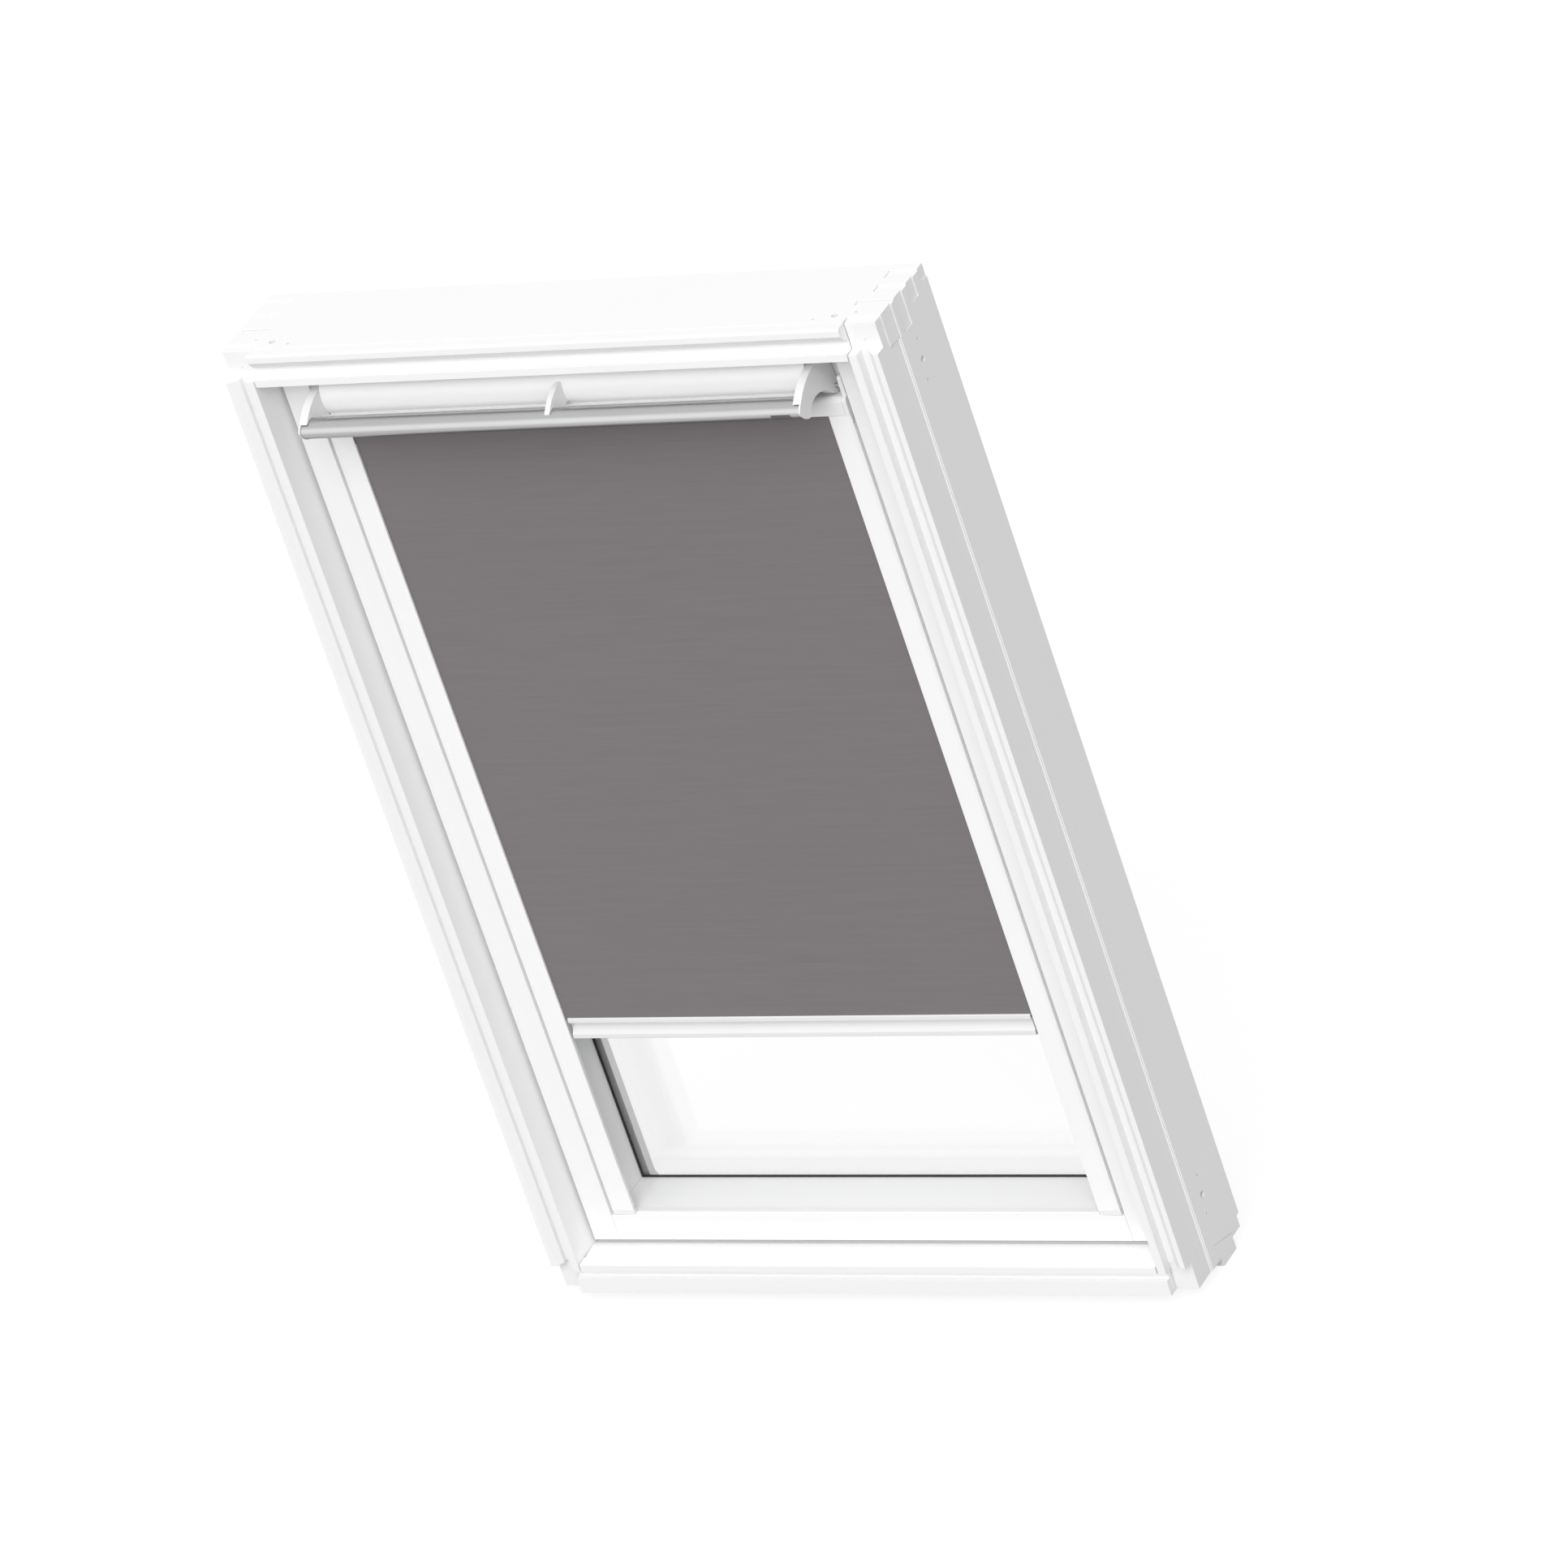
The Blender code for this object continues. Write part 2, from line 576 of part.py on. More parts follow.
def build_side(side, material):
    """One side member, with its comb fingers standing up into the head and down into the sill."""
    widths = [
        (0, 0), (SIDE_OUTER_STRIP, 0), (SIDE_OUTER_STRIP + STRIP_SPLAY, SPLAY_DEPTH),
        (SIDE_OUTER_STRIP + STRIP_SPLAY, GROOVE_DEPTH), (SIDE_FACE - SIDE_INNER_STRIP, GROOVE_DEPTH),
        (SIDE_FACE - SIDE_INNER_STRIP, 0), (SIDE_FACE, 0), (SIDE_FACE + JAMB_TAPER, FINGER_2[0]),
        (SIDE_FACE + JAMB_TAPER, JAMB_DEPTH), (REAR_WALL, JAMB_DEPTH + GAP), (REAR_WALL, FRAME_DEPTH),
        (0, FRAME_DEPTH), (0, DRIP_CUT_DEPTH + DRIP_CUT_WIDTH),
        (DRIP_CUT, DRIP_CUT_DEPTH + DRIP_CUT_WIDTH - DRIP_CUT / 2),
        (DRIP_CUT, DRIP_CUT_DEPTH + DRIP_CUT / 2), (0, DRIP_CUT_DEPTH)]
    outline = plan([(side * (HALF_WIDTH - inward), depth) for inward, depth in widths])
    name = side_name(side)
    member = extrude("frame_side_" + name, [outline], "z", z_at(FRAME_HEIGHT), z_at(FINGER_SET), material)
    low, high = span(side, JAMB_HALF - CLEAR, HALF_WIDTH + CLEAR)

    top = -CLEAR
    head_fingers = [
        section(rectangle(-CLEAR, STUB_DEPTH, top, STRIP_STOP)),
        section(rectangle(STUB_BACK, FINGER_2[0], top, HEAD_FACE + HEAD_TAPER + GAP)),
        section(rectangle(FINGER_2[1], FINGER_3[0], top, HEAD_FACE + HEAD_TAPER + GAP)),
        section(rectangle(FINGER_3[1], FINGER_4[0], top, HEAD_MID_WALL + GAP)),
        section(rectangle(FINGER_4[1], FRAME_DEPTH + CLEAR, top, HEAD_REAR_WALL + GAP))]
    cut(member, extrude("side_comb_" + name, head_fingers, "x", low, high))

    foot = FRAME_HEIGHT
    below = foot + CLEAR
    slope_end = SILL_DEPTH + GAP
    tail = FRAME_DEPTH - FOOT_TAIL_WIDTH
    sill_fingers = [
        section([(FOOT_STUB_BACK, sill_top(FOOT_STUB_BACK) - GAP), (SASH_FRONT, sill_top(SASH_FRONT) - GAP),
                 (FOOT_FINGER[0], sill_top(FOOT_FINGER[0]) - GAP), (FOOT_FINGER[0], below),
                 (FOOT_STUB_BACK, below)]),
        section([(FOOT_FINGER[1], sill_top(FOOT_FINGER[1]) - GAP), (slope_end, sill_top(SILL_DEPTH) - GAP),
                 (slope_end, foot - FOOT_REAR_CUT), (tail, foot - FOOT_REAR_CUT),
                 (tail, foot - FOOT_TAIL_CUT), (FRAME_DEPTH + CLEAR, foot - FOOT_TAIL_CUT),
                 (FRAME_DEPTH + CLEAR, below), (FOOT_FINGER[1], below)])]
    cut(member, extrude("foot_comb_" + name, sill_fingers, "x", low, high))

    inner_stop = z_at(foot - SILL_FACE + SILL_INNER_STRIP)
    outer_stop = z_at(foot - SILL_FACE + GAP * 4)
    strip_edge = side * (HALF_WIDTH - SIDE_FACE + SIDE_INNER_STRIP)
    beyond = side * (HALF_WIDTH + CLEAR)
    inside = side * (HALF_WIDTH - SIDE_FACE - CLEAR)
    strips = [(beyond, outer_stop), (strip_edge, outer_stop), (strip_edge, inner_stop), (inside, inner_stop),
              (inside, z_at(below)), (beyond, z_at(below))]
    cut(member, extrude("foot_strip_cut_" + name, [strips], "y", y_at(-CLEAR), y_at(STUB_DEPTH)))

    low, high = span(side, HALF_WIDTH - HOLE_DEPTH, HALF_WIDTH + CLEAR)
    for end, start in (("top", HOLE_DROP), ("low", FRAME_HEIGHT - HOLE_DROP - 2 * HOLE_PITCH)):
        for number in range(3):
            centre = (y_at(HOLE_BACK - number * HOLE_SLANT), z_at(start + number * HOLE_PITCH))
            radius = PEG_HOLE if number == 1 else SCREW_HOLE
            drill = extrude("side_hole_%s_%s_%d" % (name, end, number), [circle(centre, radius, HOLE_SIDES)],
                            "x", low, high)
            cut(member, drill)

    centre = (side * (HALF_WIDTH - STUB_HOLE_INSET), z_at(STUB_HOLE_DROP))
    dimple = extrude("stub_hole_" + name, [circle(centre, STUB_HOLE, HOLE_SIDES)], "y", y_at(-CLEAR),
                     y_at(STUB_DEPTH + STUB_HOLE_LENGTH))
    cut(member, dimple)


def seal_outline(start, end, roots, crest, shoulder):
    """A seal's section: two roots on the frame, a crest towards the sash and a shoulder each side."""
    return [(start, roots[0]), (end, roots[1]), (end - SEAL_SHOULDER, shoulder),
            ((start + end) / 2, crest), (start + SEAL_SHOULDER, shoulder)]


def build_frame_seals(material):
    """Seals on the frame, which the sash closes against."""
    crest = SASH_HALF + SEAL_GAP
    root = REAR_HALF - GAP
    for side in (-1, 1):
        outline = plan([(side * half, depth) for depth, half in seal_outline(
            SEAL_DEPTH, SEAL_DEPTH + SEAL_WIDTH, (root, root), crest, (root + crest) / 2)])
        extrude("seal_" + side_name(side), [outline], "z", z_at(sill_top(SEAL_DEPTH) - 2 * GAP),
                z_at(HEAD_MID_WALL + GAP), material)
    root = HEAD_FACE + HEAD_TAPER + GAP
    crest = root + HEAD_SEAL_HEIGHT
    outline = section(seal_outline(HEAD_SEAL_DEPTH, HEAD_SEAL_DEPTH + SEAL_WIDTH, (root, root), crest,
                                   (root + crest) / 2))
    extrude("seal_head", [outline], "x", -SASH_HALF, SASH_HALF, material)
    end = SILL_SEAL_DEPTH + SILL_SEAL_WIDTH
    crest = sill_top(SILL_SEAL_DEPTH) - SILL_SEAL_HEIGHT
    outline = section(seal_outline(SILL_SEAL_DEPTH, end,
                                   (sill_top(SILL_SEAL_DEPTH) - GAP, sill_top(end) - GAP), crest,
                                   crest + SEAL_SHOULDER))
    extrude("seal_sill", [outline], "x", -SASH_HALF, SASH_HALF, material)


def rounded_plate(half_depth, half_height, radius, centre, steps=4):
    """A rectangle with round corners in the (y, z) plane."""
    outline = []
    for quarter, (sign_a, sign_b) in enumerate(((1, 1), (-1, 1), (-1, -1), (1, -1))):
        middle = (centre[0] + sign_a * (half_depth - radius), centre[1] + sign_b * (half_height - radius))
        outline += arc(middle, radius, 90 * quarter, 90 * quarter + 90, steps)
    return outline


def build_pivots(side, steel, plastic, carrier, stile):
    """The frame's socket with its pin, and the sash's bushed plate, in the stile's pocket."""
    name = side_name(side)
    centre = (y_at(PIVOT_DEPTH), z_at(PIVOT_DROP))
    socket_centre = (y_at(JAMB_DEPTH + SOCKET_WIDTH / 2 + 4 * GAP), centre[1])
    outline = rounded_plate(SOCKET_WIDTH / 2, SOCKET_LENGTH / 2, SOCKET_WIDTH / 4, socket_centre)
    inner = REAR_HALF - GAP - SOCKET_REACH
    socket = extrude("frame_pivot_" + name, [outline], "x", *span(side, inner, REAR_HALF - GAP), steel)
    pin = extrude("pivot_pin_" + name, [circle(centre, PIN_RADIUS)], "x",
                  *span(side, inner - PIN_LENGTH, inner + SOCKET_REACH / 2))
    add(socket, pin)

    face = SASH_HALF - GAP
    back = face - PLATE_THICKNESS
    outline = rounded_plate(PLATE_WIDTH / 2, PLATE_LENGTH / 2, PLATE_WIDTH / 4, centre)
    plate = extrude("sash_pivot_" + name, [outline], "x", *span(side, back, face), steel, carrier)
    bush_radius = PIN_RADIUS + GAP + BUSH_WALL
    bore = extrude("pivot_bore_" + name, [circle(centre, bush_radius + GAP)], "x",
                   *span(side, back - CLEAR, face + CLEAR))
    cut(plate, bore)
    turned("pivot_bush_" + name, [
        (side * back, PIN_RADIUS + GAP), (side * back, bush_radius), (side * face, bush_radius),
        (side * face, PIN_RADIUS + GAP)], centre, plastic, carrier)
    pocket = extrude("pivot_pocket_" + name, [grown(outline, GAP)], "x",
                     *span(side, face - PLATE_THICKNESS - GAP, SASH_HALF + CLEAR))
    cut(stile, pocket)


def build_stile(side, material, carrier):
    """One stile: front face, splayed reveal and glass rebate, set back above the casing."""
    outline = plan([
        (side * SASH_HALF, SASH_FRONT), (side * STILE_INNER, SASH_FRONT),
        (side * SIGHT_HALF, GLASS_DEPTH - GAP), (side * (SIGHT_HALF + REBATE), GLASS_DEPTH - GAP),
        (side * (SIGHT_HALF + REBATE), UNIT_BACK), (side * SASH_HALF, UNIT_BACK)])
    name = side_name(side)
    stile = extrude("stile_" + name, [outline], "z", z_at(SASH_BOTTOM_DROP), z_at(SASH_DROP),
                    material, carrier)
    pocket = extrude("stile_pocket_" + name,
                     [section(rectangle(SASH_FRONT - CLEAR, POCKET_DEPTH, SASH_DROP - CLEAR, STILE_STOP))],
                     "x", *span(side, SIGHT_HALF - CLEAR, SASH_HALF + CLEAR))
    cut(stile, pocket)
    return stile


def stile_tool(side, name):
    """The stile's section with the joint clearance round it, for the ends of the rails."""
    near, sight, far = STILE_INNER - GAP, SIGHT_HALF - GAP, SASH_HALF + CLEAR
    outline = plan([
        (side * far, SASH_FRONT - CLEAR), (side * near, SASH_FRONT - CLEAR), (side * near, SASH_FRONT),
        (side * sight, GLASS_DEPTH - GAP), (side * sight, UNIT_BACK + CLEAR),
        (side * far, UNIT_BACK + CLEAR)])
    return extrude(name, [outline], "z", z_at(FRAME_HEIGHT), z_at(0))


def build_rails(material, carrier):
    """Top rail behind the flap, and bottom rail with its splayed sight edge."""
    seat = GLASS_DEPTH - GAP
    outline = section([
        (POCKET_DEPTH, SASH_DROP), (UNIT_BACK, SASH_DROP), (UNIT_BACK, TOP_RAIL_DROP - REBATE),
        (seat, TOP_RAIL_DROP - REBATE), (seat, TOP_RAIL_DROP), (POCKET_DEPTH, TOP_RAIL_DROP)])
    top = extrude("top_rail", [outline], "x", -STILE_INNER, STILE_INNER, material, carrier)
    outline = section([
        (SASH_FRONT, SASH_BOTTOM_DROP), (SASH_FRONT, RAIL_TOP_DROP), (seat, SIGHT_BOTTOM_DROP),
        (seat, SIGHT_BOTTOM_DROP + REBATE), (UNIT_BACK, SIGHT_BOTTOM_DROP + REBATE),
        (UNIT_BACK, SASH_BOTTOM_DROP)])
    bottom = extrude("bottom_rail", [outline], "x", -STILE_INNER - CLEAR, STILE_INNER + CLEAR,
                     material, carrier)
    for rail in (top, bottom):
        for side in (-1, 1):
            cut(rail, stile_tool(side, "%s_shoulder_%s" % (rail.name, side_name(side))))
    return top, bottom


def build_glazing(glass, dark, spacer_metal, carrier):
    """Two panes with the spacer between them, and the gasket round the inner pane's sight edge."""
    cover = REBATE - PANE_PLAY
    half = SIGHT_HALF + cover
    high, low = z_at(TOP_RAIL_DROP - cover), z_at(SIGHT_BOTTOM_DROP + cover)
    pane = rectangle(-half, half, low, high)
    extrude("inner_pane", [pane], "y", y_at(GLASS_DEPTH), y_at(GLASS_DEPTH + PANE_THICKNESS), glass, carrier)
    extrude("outer_pane", [pane], "y", y_at(UNIT_BACK - PANE_THICKNESS), y_at(UNIT_BACK), glass, carrier)
    inner = rectangle(-SIGHT_HALF + SPACER_SHOW, SIGHT_HALF - SPACER_SHOW,
                      z_at(SIGHT_BOTTOM_DROP), z_at(TOP_RAIL_DROP))
    outer = rectangle(-SIGHT_HALF + SPACER_SHOW - SPACER_WIDTH, SIGHT_HALF - SPACER_SHOW + SPACER_WIDTH,
                      z_at(SIGHT_BOTTOM_DROP + SPACER_WIDTH), z_at(TOP_RAIL_DROP - SPACER_WIDTH))
    ring("glass_spacer", outer, inner, y_at(GLASS_DEPTH + PANE_THICKNESS + GAP),
         y_at(UNIT_BACK - PANE_THICKNESS - GAP), spacer_metal, carrier)
    front, back = GLASS_DEPTH - GAP - GASKET_DEPTH, GLASS_DEPTH - GAP
    edge = reveal_half(GLASS_DEPTH) - GAP
    outer = rectangle(-edge, edge, z_at(SIGHT_BOTTOM_DROP - GAP), z_at(TOP_RAIL_DROP + GAP))
    inner = rectangle(-edge + GASKET_WIDTH, edge - GASKET_WIDTH, z_at(SIGHT_BOTTOM_DROP - GAP - GASKET_WIDTH),
                      z_at(TOP_RAIL_DROP + GAP + GASKET_WIDTH))
    ring("glazing_gasket", outer, inner, y_at(front), y_at(back), dark, carrier)


def build_covers(material, carrier):
    """Glazing covers on the weather side: two long ones at the sides, two between them."""
    front, back = UNIT_BACK + GAP, UNIT_BACK + GAP + COVER_THICKNESS
    for side in (-1, 1):
        outline = plan([
            (side * SIGHT_HALF, front), (side * SASH_HALF, front), (side * SASH_HALF, back - COVER_BEVEL),
            (side * (SASH_HALF - COVER_BEVEL), back), (side * (SIGHT_HALF + COVER_BEVEL), back),
            (side * SIGHT_HALF, back - COVER_BEVEL)])
        extrude("cover_" + side_name(side), [outline], "z", z_at(SASH_BOTTOM_DROP), z_at(SASH_DROP),
                material, carrier)
    for name, low, high in (("cover_top", SASH_DROP, TOP_RAIL_DROP),
                            ("cover_bottom", SIGHT_BOTTOM_DROP, SASH_BOTTOM_DROP)):
        outline = section([
            (front, low), (front, high), (back - COVER_BEVEL, high), (back, high - COVER_BEVEL),
            (back, low + COVER_BEVEL), (back - COVER_BEVEL, low)])
        extrude(name, [outline], "x", -SIGHT_HALF + GAP, SIGHT_HALF - GAP, material, carrier)


def on_bracket(shares):
    """Places on an end bracket, from shares of its length and of its height."""
    return [(-BAR_REACH + BRACKET_LENGTH * along, BRACKET_DROP + BRACKET_HEIGHT * down)
            for along, down in shares]


def bracket_outline():
    """An end bracket seen from the side: the arm to the bar, and the tail down to the hinge pin."""
    arm = [(0.423, 0.073), (0.238, 0.207), (0.101, 0.380), (0.014, 0.508), (0.0, 0.587), (0.036, 0.697),
           (0.093, 0.790), (0.173, 0.853), (0.219, 0.826), (0.264, 0.714), (0.306, 0.662), (0.378, 0.610)]
    tail = [(0.475, 0.600), (0.569, 0.629), (0.656, 0.683), (0.767, 0.832), (0.864, 0.963), (0.948, 1.0),
            (1.0, 0.888), (0.984, 0.618), (0.953, 0.307), (0.900, 0.100), (0.779, 0.0), (0.628, 0.010)]
    return section(flowing(on_bracket(arm + tail)))


def bar_outline():
    """Control bar: round nose to the room, flat back for the fingers."""
    shares = [(0.936, -0.385), (0.690, -0.446), (0.468, -0.413), (0.222, -0.282), (0.049, -0.131),
              (0.0, 0.014), (0.108, 0.216), (0.325, 0.427), (0.640, 0.554), (0.818, 0.507), (0.970, 0.282),
              (1.0, -0.047)]
    nose = BAR_COVER - BAR_REACH
    return section(flowing([(nose + BAR_THICKNESS * back, BAR_DROP + BAR_HEIGHT * down)
                            for back, down in shares], 2))


def flap_arc(inset, start, end, steps):
    """The flap's oval front, moved inward by the inset; 0 degrees is its foot and 90 its top."""
    angles = [radians(start + (end - start) * i / steps) for i in range(steps + 1)]
    return [(FLAP_FRONT + FLAP_ROUND - (FLAP_ROUND - inset) * cos(a),
             FLAP_FOOT - (FLAP_FOOT - FLAP_TOP - inset) * sin(a)) for a in angles]


def build_flap(white, metal, seal, carrier):
    """Ventilation flap with its lip and seal, three brackets and the control bar."""
    lip_low = FLAP_LIP_DROP + FLAP_LIP_THICKNESS
    leg = FLAP_FRONT + FLAP_LEG
    tip = FLAP_FRONT - FLAP_LIP
    outline = (flap_arc(0, 0, 90, 6) + [(FLAP_BACK, FLAP_TOP), (FLAP_BACK, FLAP_TOP + FLAP_WALL)]
               + flap_arc(FLAP_WALL, 90, 0, 6)
               + [(leg + FLAP_WALL, lip_low + FLAP_LIP_EDGE), (leg, lip_low + FLAP_LIP_EDGE),
                  (FLAP_FRONT + FLAP_WALL, lip_low), (tip + FLAP_LIP_EDGE, lip_low),
                  (tip, FLAP_LIP_DROP + FLAP_LIP_THICKNESS / 2), (tip + FLAP_LIP_EDGE, FLAP_LIP_DROP),
                  (FLAP_FRONT, FLAP_LIP_DROP)])
    extrude("vent_flap", [section(outline)], "x", GAP - BRACKET_INNER, BRACKET_INNER - GAP, white, carrier)
    start, end = FLAP_BACK - FLAP_SEAL_WIDTH, FLAP_BACK - GAP
    left, right = start + FLAP_SEAL_TIP, end - FLAP_SEAL_TIP / 2
    outline = section([
        (start, FLAP_TOP - GAP), (end, FLAP_TOP - GAP), (right, head_drop(right) + FLAP_SEAL_GAP),
        (left, head_drop(left) + FLAP_SEAL_GAP)])
    extrude("flap_seal", [outline], "x", GAP - BRACKET_INNER, BRACKET_INNER - GAP, seal, carrier)

    bar_half = BRACKET_OUTER - END_CAP - GAP
    bar = bar_outline()
    extrude("control_bar", [bar], "x", -bar_half, bar_half, metal, carrier)

    hinge = (y_at(HINGE_DEPTH), z_at(HINGE_DROP))
    room_back = BAR_COVER - BAR_REACH + BAR_THICKNESS + BAR_COVER
    under = section(rectangle(-BAR_REACH - CLEAR, room_back, BAR_DROP - BAR_ROOM, BAR_DROP + CLEAR))
    for side in (-1, 1):
        name = side_name(side)
        bracket = extrude("bracket_" + name, [bracket_outline()], "x",
                          *span(side, BRACKET_INNER, BRACKET_OUTER), white, carrier)
        reach = span(side, BRACKET_INNER - CLEAR, BRACKET_OUTER - END_CAP)
        cut(bracket, extrude("bar_room_" + name, [under], "x", *reach))
        cut(bracket, extrude("bar_seat_" + name, [grown(bar, GAP)], "x", *reach))
        cut(bracket, extrude("hinge_bore_" + name, [circle(hinge, HINGE_PIN + GAP, 20)], "x",
                             *span(side, BRACKET_INNER - CLEAR, BRACKET_OUTER + CLEAR)))

    seat = [(depth - GAP, drop) for depth, drop in flap_arc(0, 0, 40, 3)]
    front = on_bracket([(0.423, 0.079), (0.238, 0.207), (0.101, 0.380), (0.072, 0.483), (0.163, 0.618),
                        (0.229, 0.726), (0.264, 0.710), (0.306, 0.658), (0.378, 0.606)])
    foot = [(tip, FLAP_LIP_DROP - GAP), (FLAP_FRONT - 2 * GAP, FLAP_LIP_DROP - GAP)]
    middle = extrude("bracket_middle", [section(seat + front + foot)], "x", -MIDDLE_BRACKET / 2,
                     MIDDLE_BRACKET / 2, white, carrier)
    cut(middle, extrude("bar_seat_middle", [grown(bar, GAP)], "x", -CLEAR, CLEAR))


def bolt_outline():
    """The latch bolt seen from above."""
    return rectangle(-BOLT_WIDTH / 2, BOLT_WIDTH / 2, y_at(BOLT_DEPTH - BOLT_THICKNESS / 2),
                     y_at(BOLT_DEPTH + BOLT_THICKNESS / 2))


def build_latch(steel, sash, slide):
    """Lock case on the top rail, bolt through it, and the keeper under the head."""
    low, high = POCKET_DEPTH - GAP - CASE_THICKNESS, POCKET_DEPTH - GAP
    outline = rectangle(-CASE_WIDTH / 2, CASE_WIDTH / 2, y_at(low), y_at(high))
    case = extrude("lock_case", [outline], "z", z_at(CASE_DROP + CASE_HEIGHT), z_at(CASE_DROP), steel, sash)
    bolt = bolt_outline()
    cut(case, extrude("bolt_way", [grown(bolt, GAP)], "z", z_at(FRAME_HEIGHT), z_at(0)))
    extrude("latch_bolt", [bolt], "z", z_at(BOLT_DROP + BOLT_LENGTH), z_at(BOLT_DROP), steel, slide)
    top = HEAD_FACE + HEAD_TAPER
    plate = rectangle(-KEEPER_WIDTH / 2, KEEPER_WIDTH / 2, y_at(BOLT_DEPTH - KEEPER_LENGTH / 2),
                      y_at(BOLT_DEPTH + KEEPER_LENGTH / 2))
    keeper = extrude("latch_keeper", [plate], "z", z_at(top + KEEPER_THICKNESS), z_at(top), steel)
    cut(keeper, extrude("keeper_slot", [grown(bolt, BOLT_PLAY)], "z", z_at(FRAME_HEIGHT), z_at(0)))


def build_casing(white, steel, carrier):
    """Casing of the blind: rounded front apron, top and rear wall, open below; caps carry the hinge."""
    top = CASING_DROP
    corner = (CASING_FRONT + CASING_CORNER, top + CASING_CORNER)
    outside = arc(corner, CASING_CORNER, 180, 270, 6)
    inside = arc(corner, CASING_CORNER - CASING_WALL, 270, 180, 6)
    back_wall = CASING_BACK - CASING_WALL
    outline = ([(CASING_FRONT, top + APRON)] + outside
               + [(CASING_BACK, top), (CASING_BACK, top + CASING_REAR), (back_wall, top + CASING_REAR),
                  (back_wall, top + CASING_WALL)]
               + inside + [(CASING_FRONT + CASING_WALL, top + APRON)])
    extrude("blind_casing", [section(outline)], "x", -CASING_HALF, CASING_HALF, white, carrier)

    hinge = (y_at(HINGE_DEPTH), z_at(HINGE_DROP))
    roller = (y_at(ROLLER_DEPTH), z_at(ROLLER_DROP))
    outer = reveal_half(CASING_BACK) - GAP
    for side in (-1, 1):
        name = side_name(side)
        outline = (outside + [(HINGE_DEPTH - HINGE_LUG, top)]
                   + arc((HINGE_DEPTH, HINGE_DROP), HINGE_LUG, 180, 360, 10)
                   + [(HINGE_DEPTH + HINGE_LUG, top), (CASING_BACK, top), (CASING_BACK, top + CASING_REAR),
                      (CASING_FRONT + 2 * CASING_WALL, top + CASING_REAR),
                      (CASING_FRONT + 2 * CASING_WALL, top + APRON), (CASING_FRONT, top + APRON)])
        cap = extrude("casing_cap_" + name, [section(outline)], "x", *span(side, CASING_HALF + GAP, outer),
                      white, carrier)
        through = span(side, CASING_HALF - CLEAR, outer + CLEAR)
        cut(cap, extrude("cap_hinge_bore_" + name, [circle(hinge, HINGE_PIN + GAP, 20)], "x", *through))
        cut(cap, extrude("cap_roller_bore_" + name, [circle(roller, SHAFT_RADIUS + GAP, 20)], "x", *through))
        extrude("flap_pin_" + name, [circle(hinge, HINGE_PIN, 20)], "x",
                *span(side, BRACKET_INNER, outer), steel, carrier)


def build_spring(steel, sash):
    """Return spring: a coil of wire round the spring shaft, inside the tube."""
    coil = SHAFT_RADIUS + GAP + SPRING_WIRE
    centre = (y_at(ROLLER_DEPTH), z_at(ROLLER_DROP))
    start = -TUBE_HALF + PLUG_LENGTH + SPRING_PITCH
    around = 10
    curve = bpy.data.curves.new("return_spring", "CURVE")
    curve.dimensions = "3D"
    curve.bevel_depth = SPRING_WIRE
    curve.bevel_resolution = 1
    curve.use_fill_caps = True
    curve.materials.append(steel)
    wire = curve.splines.new("POLY")
    wire.points.add(SPRING_TURNS * around)
    place = carrier_place(sash)
    for number, point in enumerate(wire.points):
        angle = 2 * pi * number / around
        point.co = (start + SPRING_PITCH * number / around - place.x,
                    centre[0] + coil * cos(angle) - place.y, centre[1] + coil * sin(angle) - place.z, 1)
    spring = bpy.data.objects.new("return_spring", curve)
    spring.parent = sash
    bpy.context.collection.objects.link(spring)


def build_roller(metal, plastic, cloth, sash, roller):
    """Roller tube with its plugs and wound cloth, turning on a spring shaft and an idle pin."""
    centre = (y_at(ROLLER_DEPTH), z_at(ROLLER_DROP))
    bore = TUBE_RADIUS - TUBE_WALL
    turned("roller_tube", [(-TUBE_HALF, bore), (-TUBE_HALF, TUBE_RADIUS), (TUBE_HALF, TUBE_RADIUS),
                           (TUBE_HALF, bore)], centre, metal, roller)
    turned("wound_cloth", [(-CLOTH_HALF_WIDTH, TUBE_RADIUS + GAP), (-CLOTH_HALF_WIDTH, ROLL_RADIUS),
                           (CLOTH_HALF_WIDTH, ROLL_RADIUS), (CLOTH_HALF_WIDTH, TUBE_RADIUS + GAP)],
           centre, cloth, roller)
    outer = reveal_half(CASING_BACK) - GAP
    for side in (-1, 1):
        name = side_name(side)
        hole = SHAFT_RADIUS + GAP
        flange = side * (TUBE_HALF + GAP)
        inside = side * (TUBE_HALF - PLUG_LENGTH)
        turned("roller_plug_" + name, [
            (flange, hole), (inside, hole), (inside, bore - GAP), (flange, bore - GAP), (flange, TUBE_RADIUS),
            (flange + side * PLUG_FLANGE, TUBE_RADIUS), (flange + side * PLUG_FLANGE, hole)],
            centre, plastic, roller)
    shaft = [circle(centre, SHAFT_RADIUS, 20)]
    extrude("spring_shaft", shaft, "x", -outer, -outer + SHAFT_LENGTH, metal, sash)
    extrude("idle_pin", shaft, "x", TUBE_HALF - PLUG_LENGTH, outer, metal, sash)


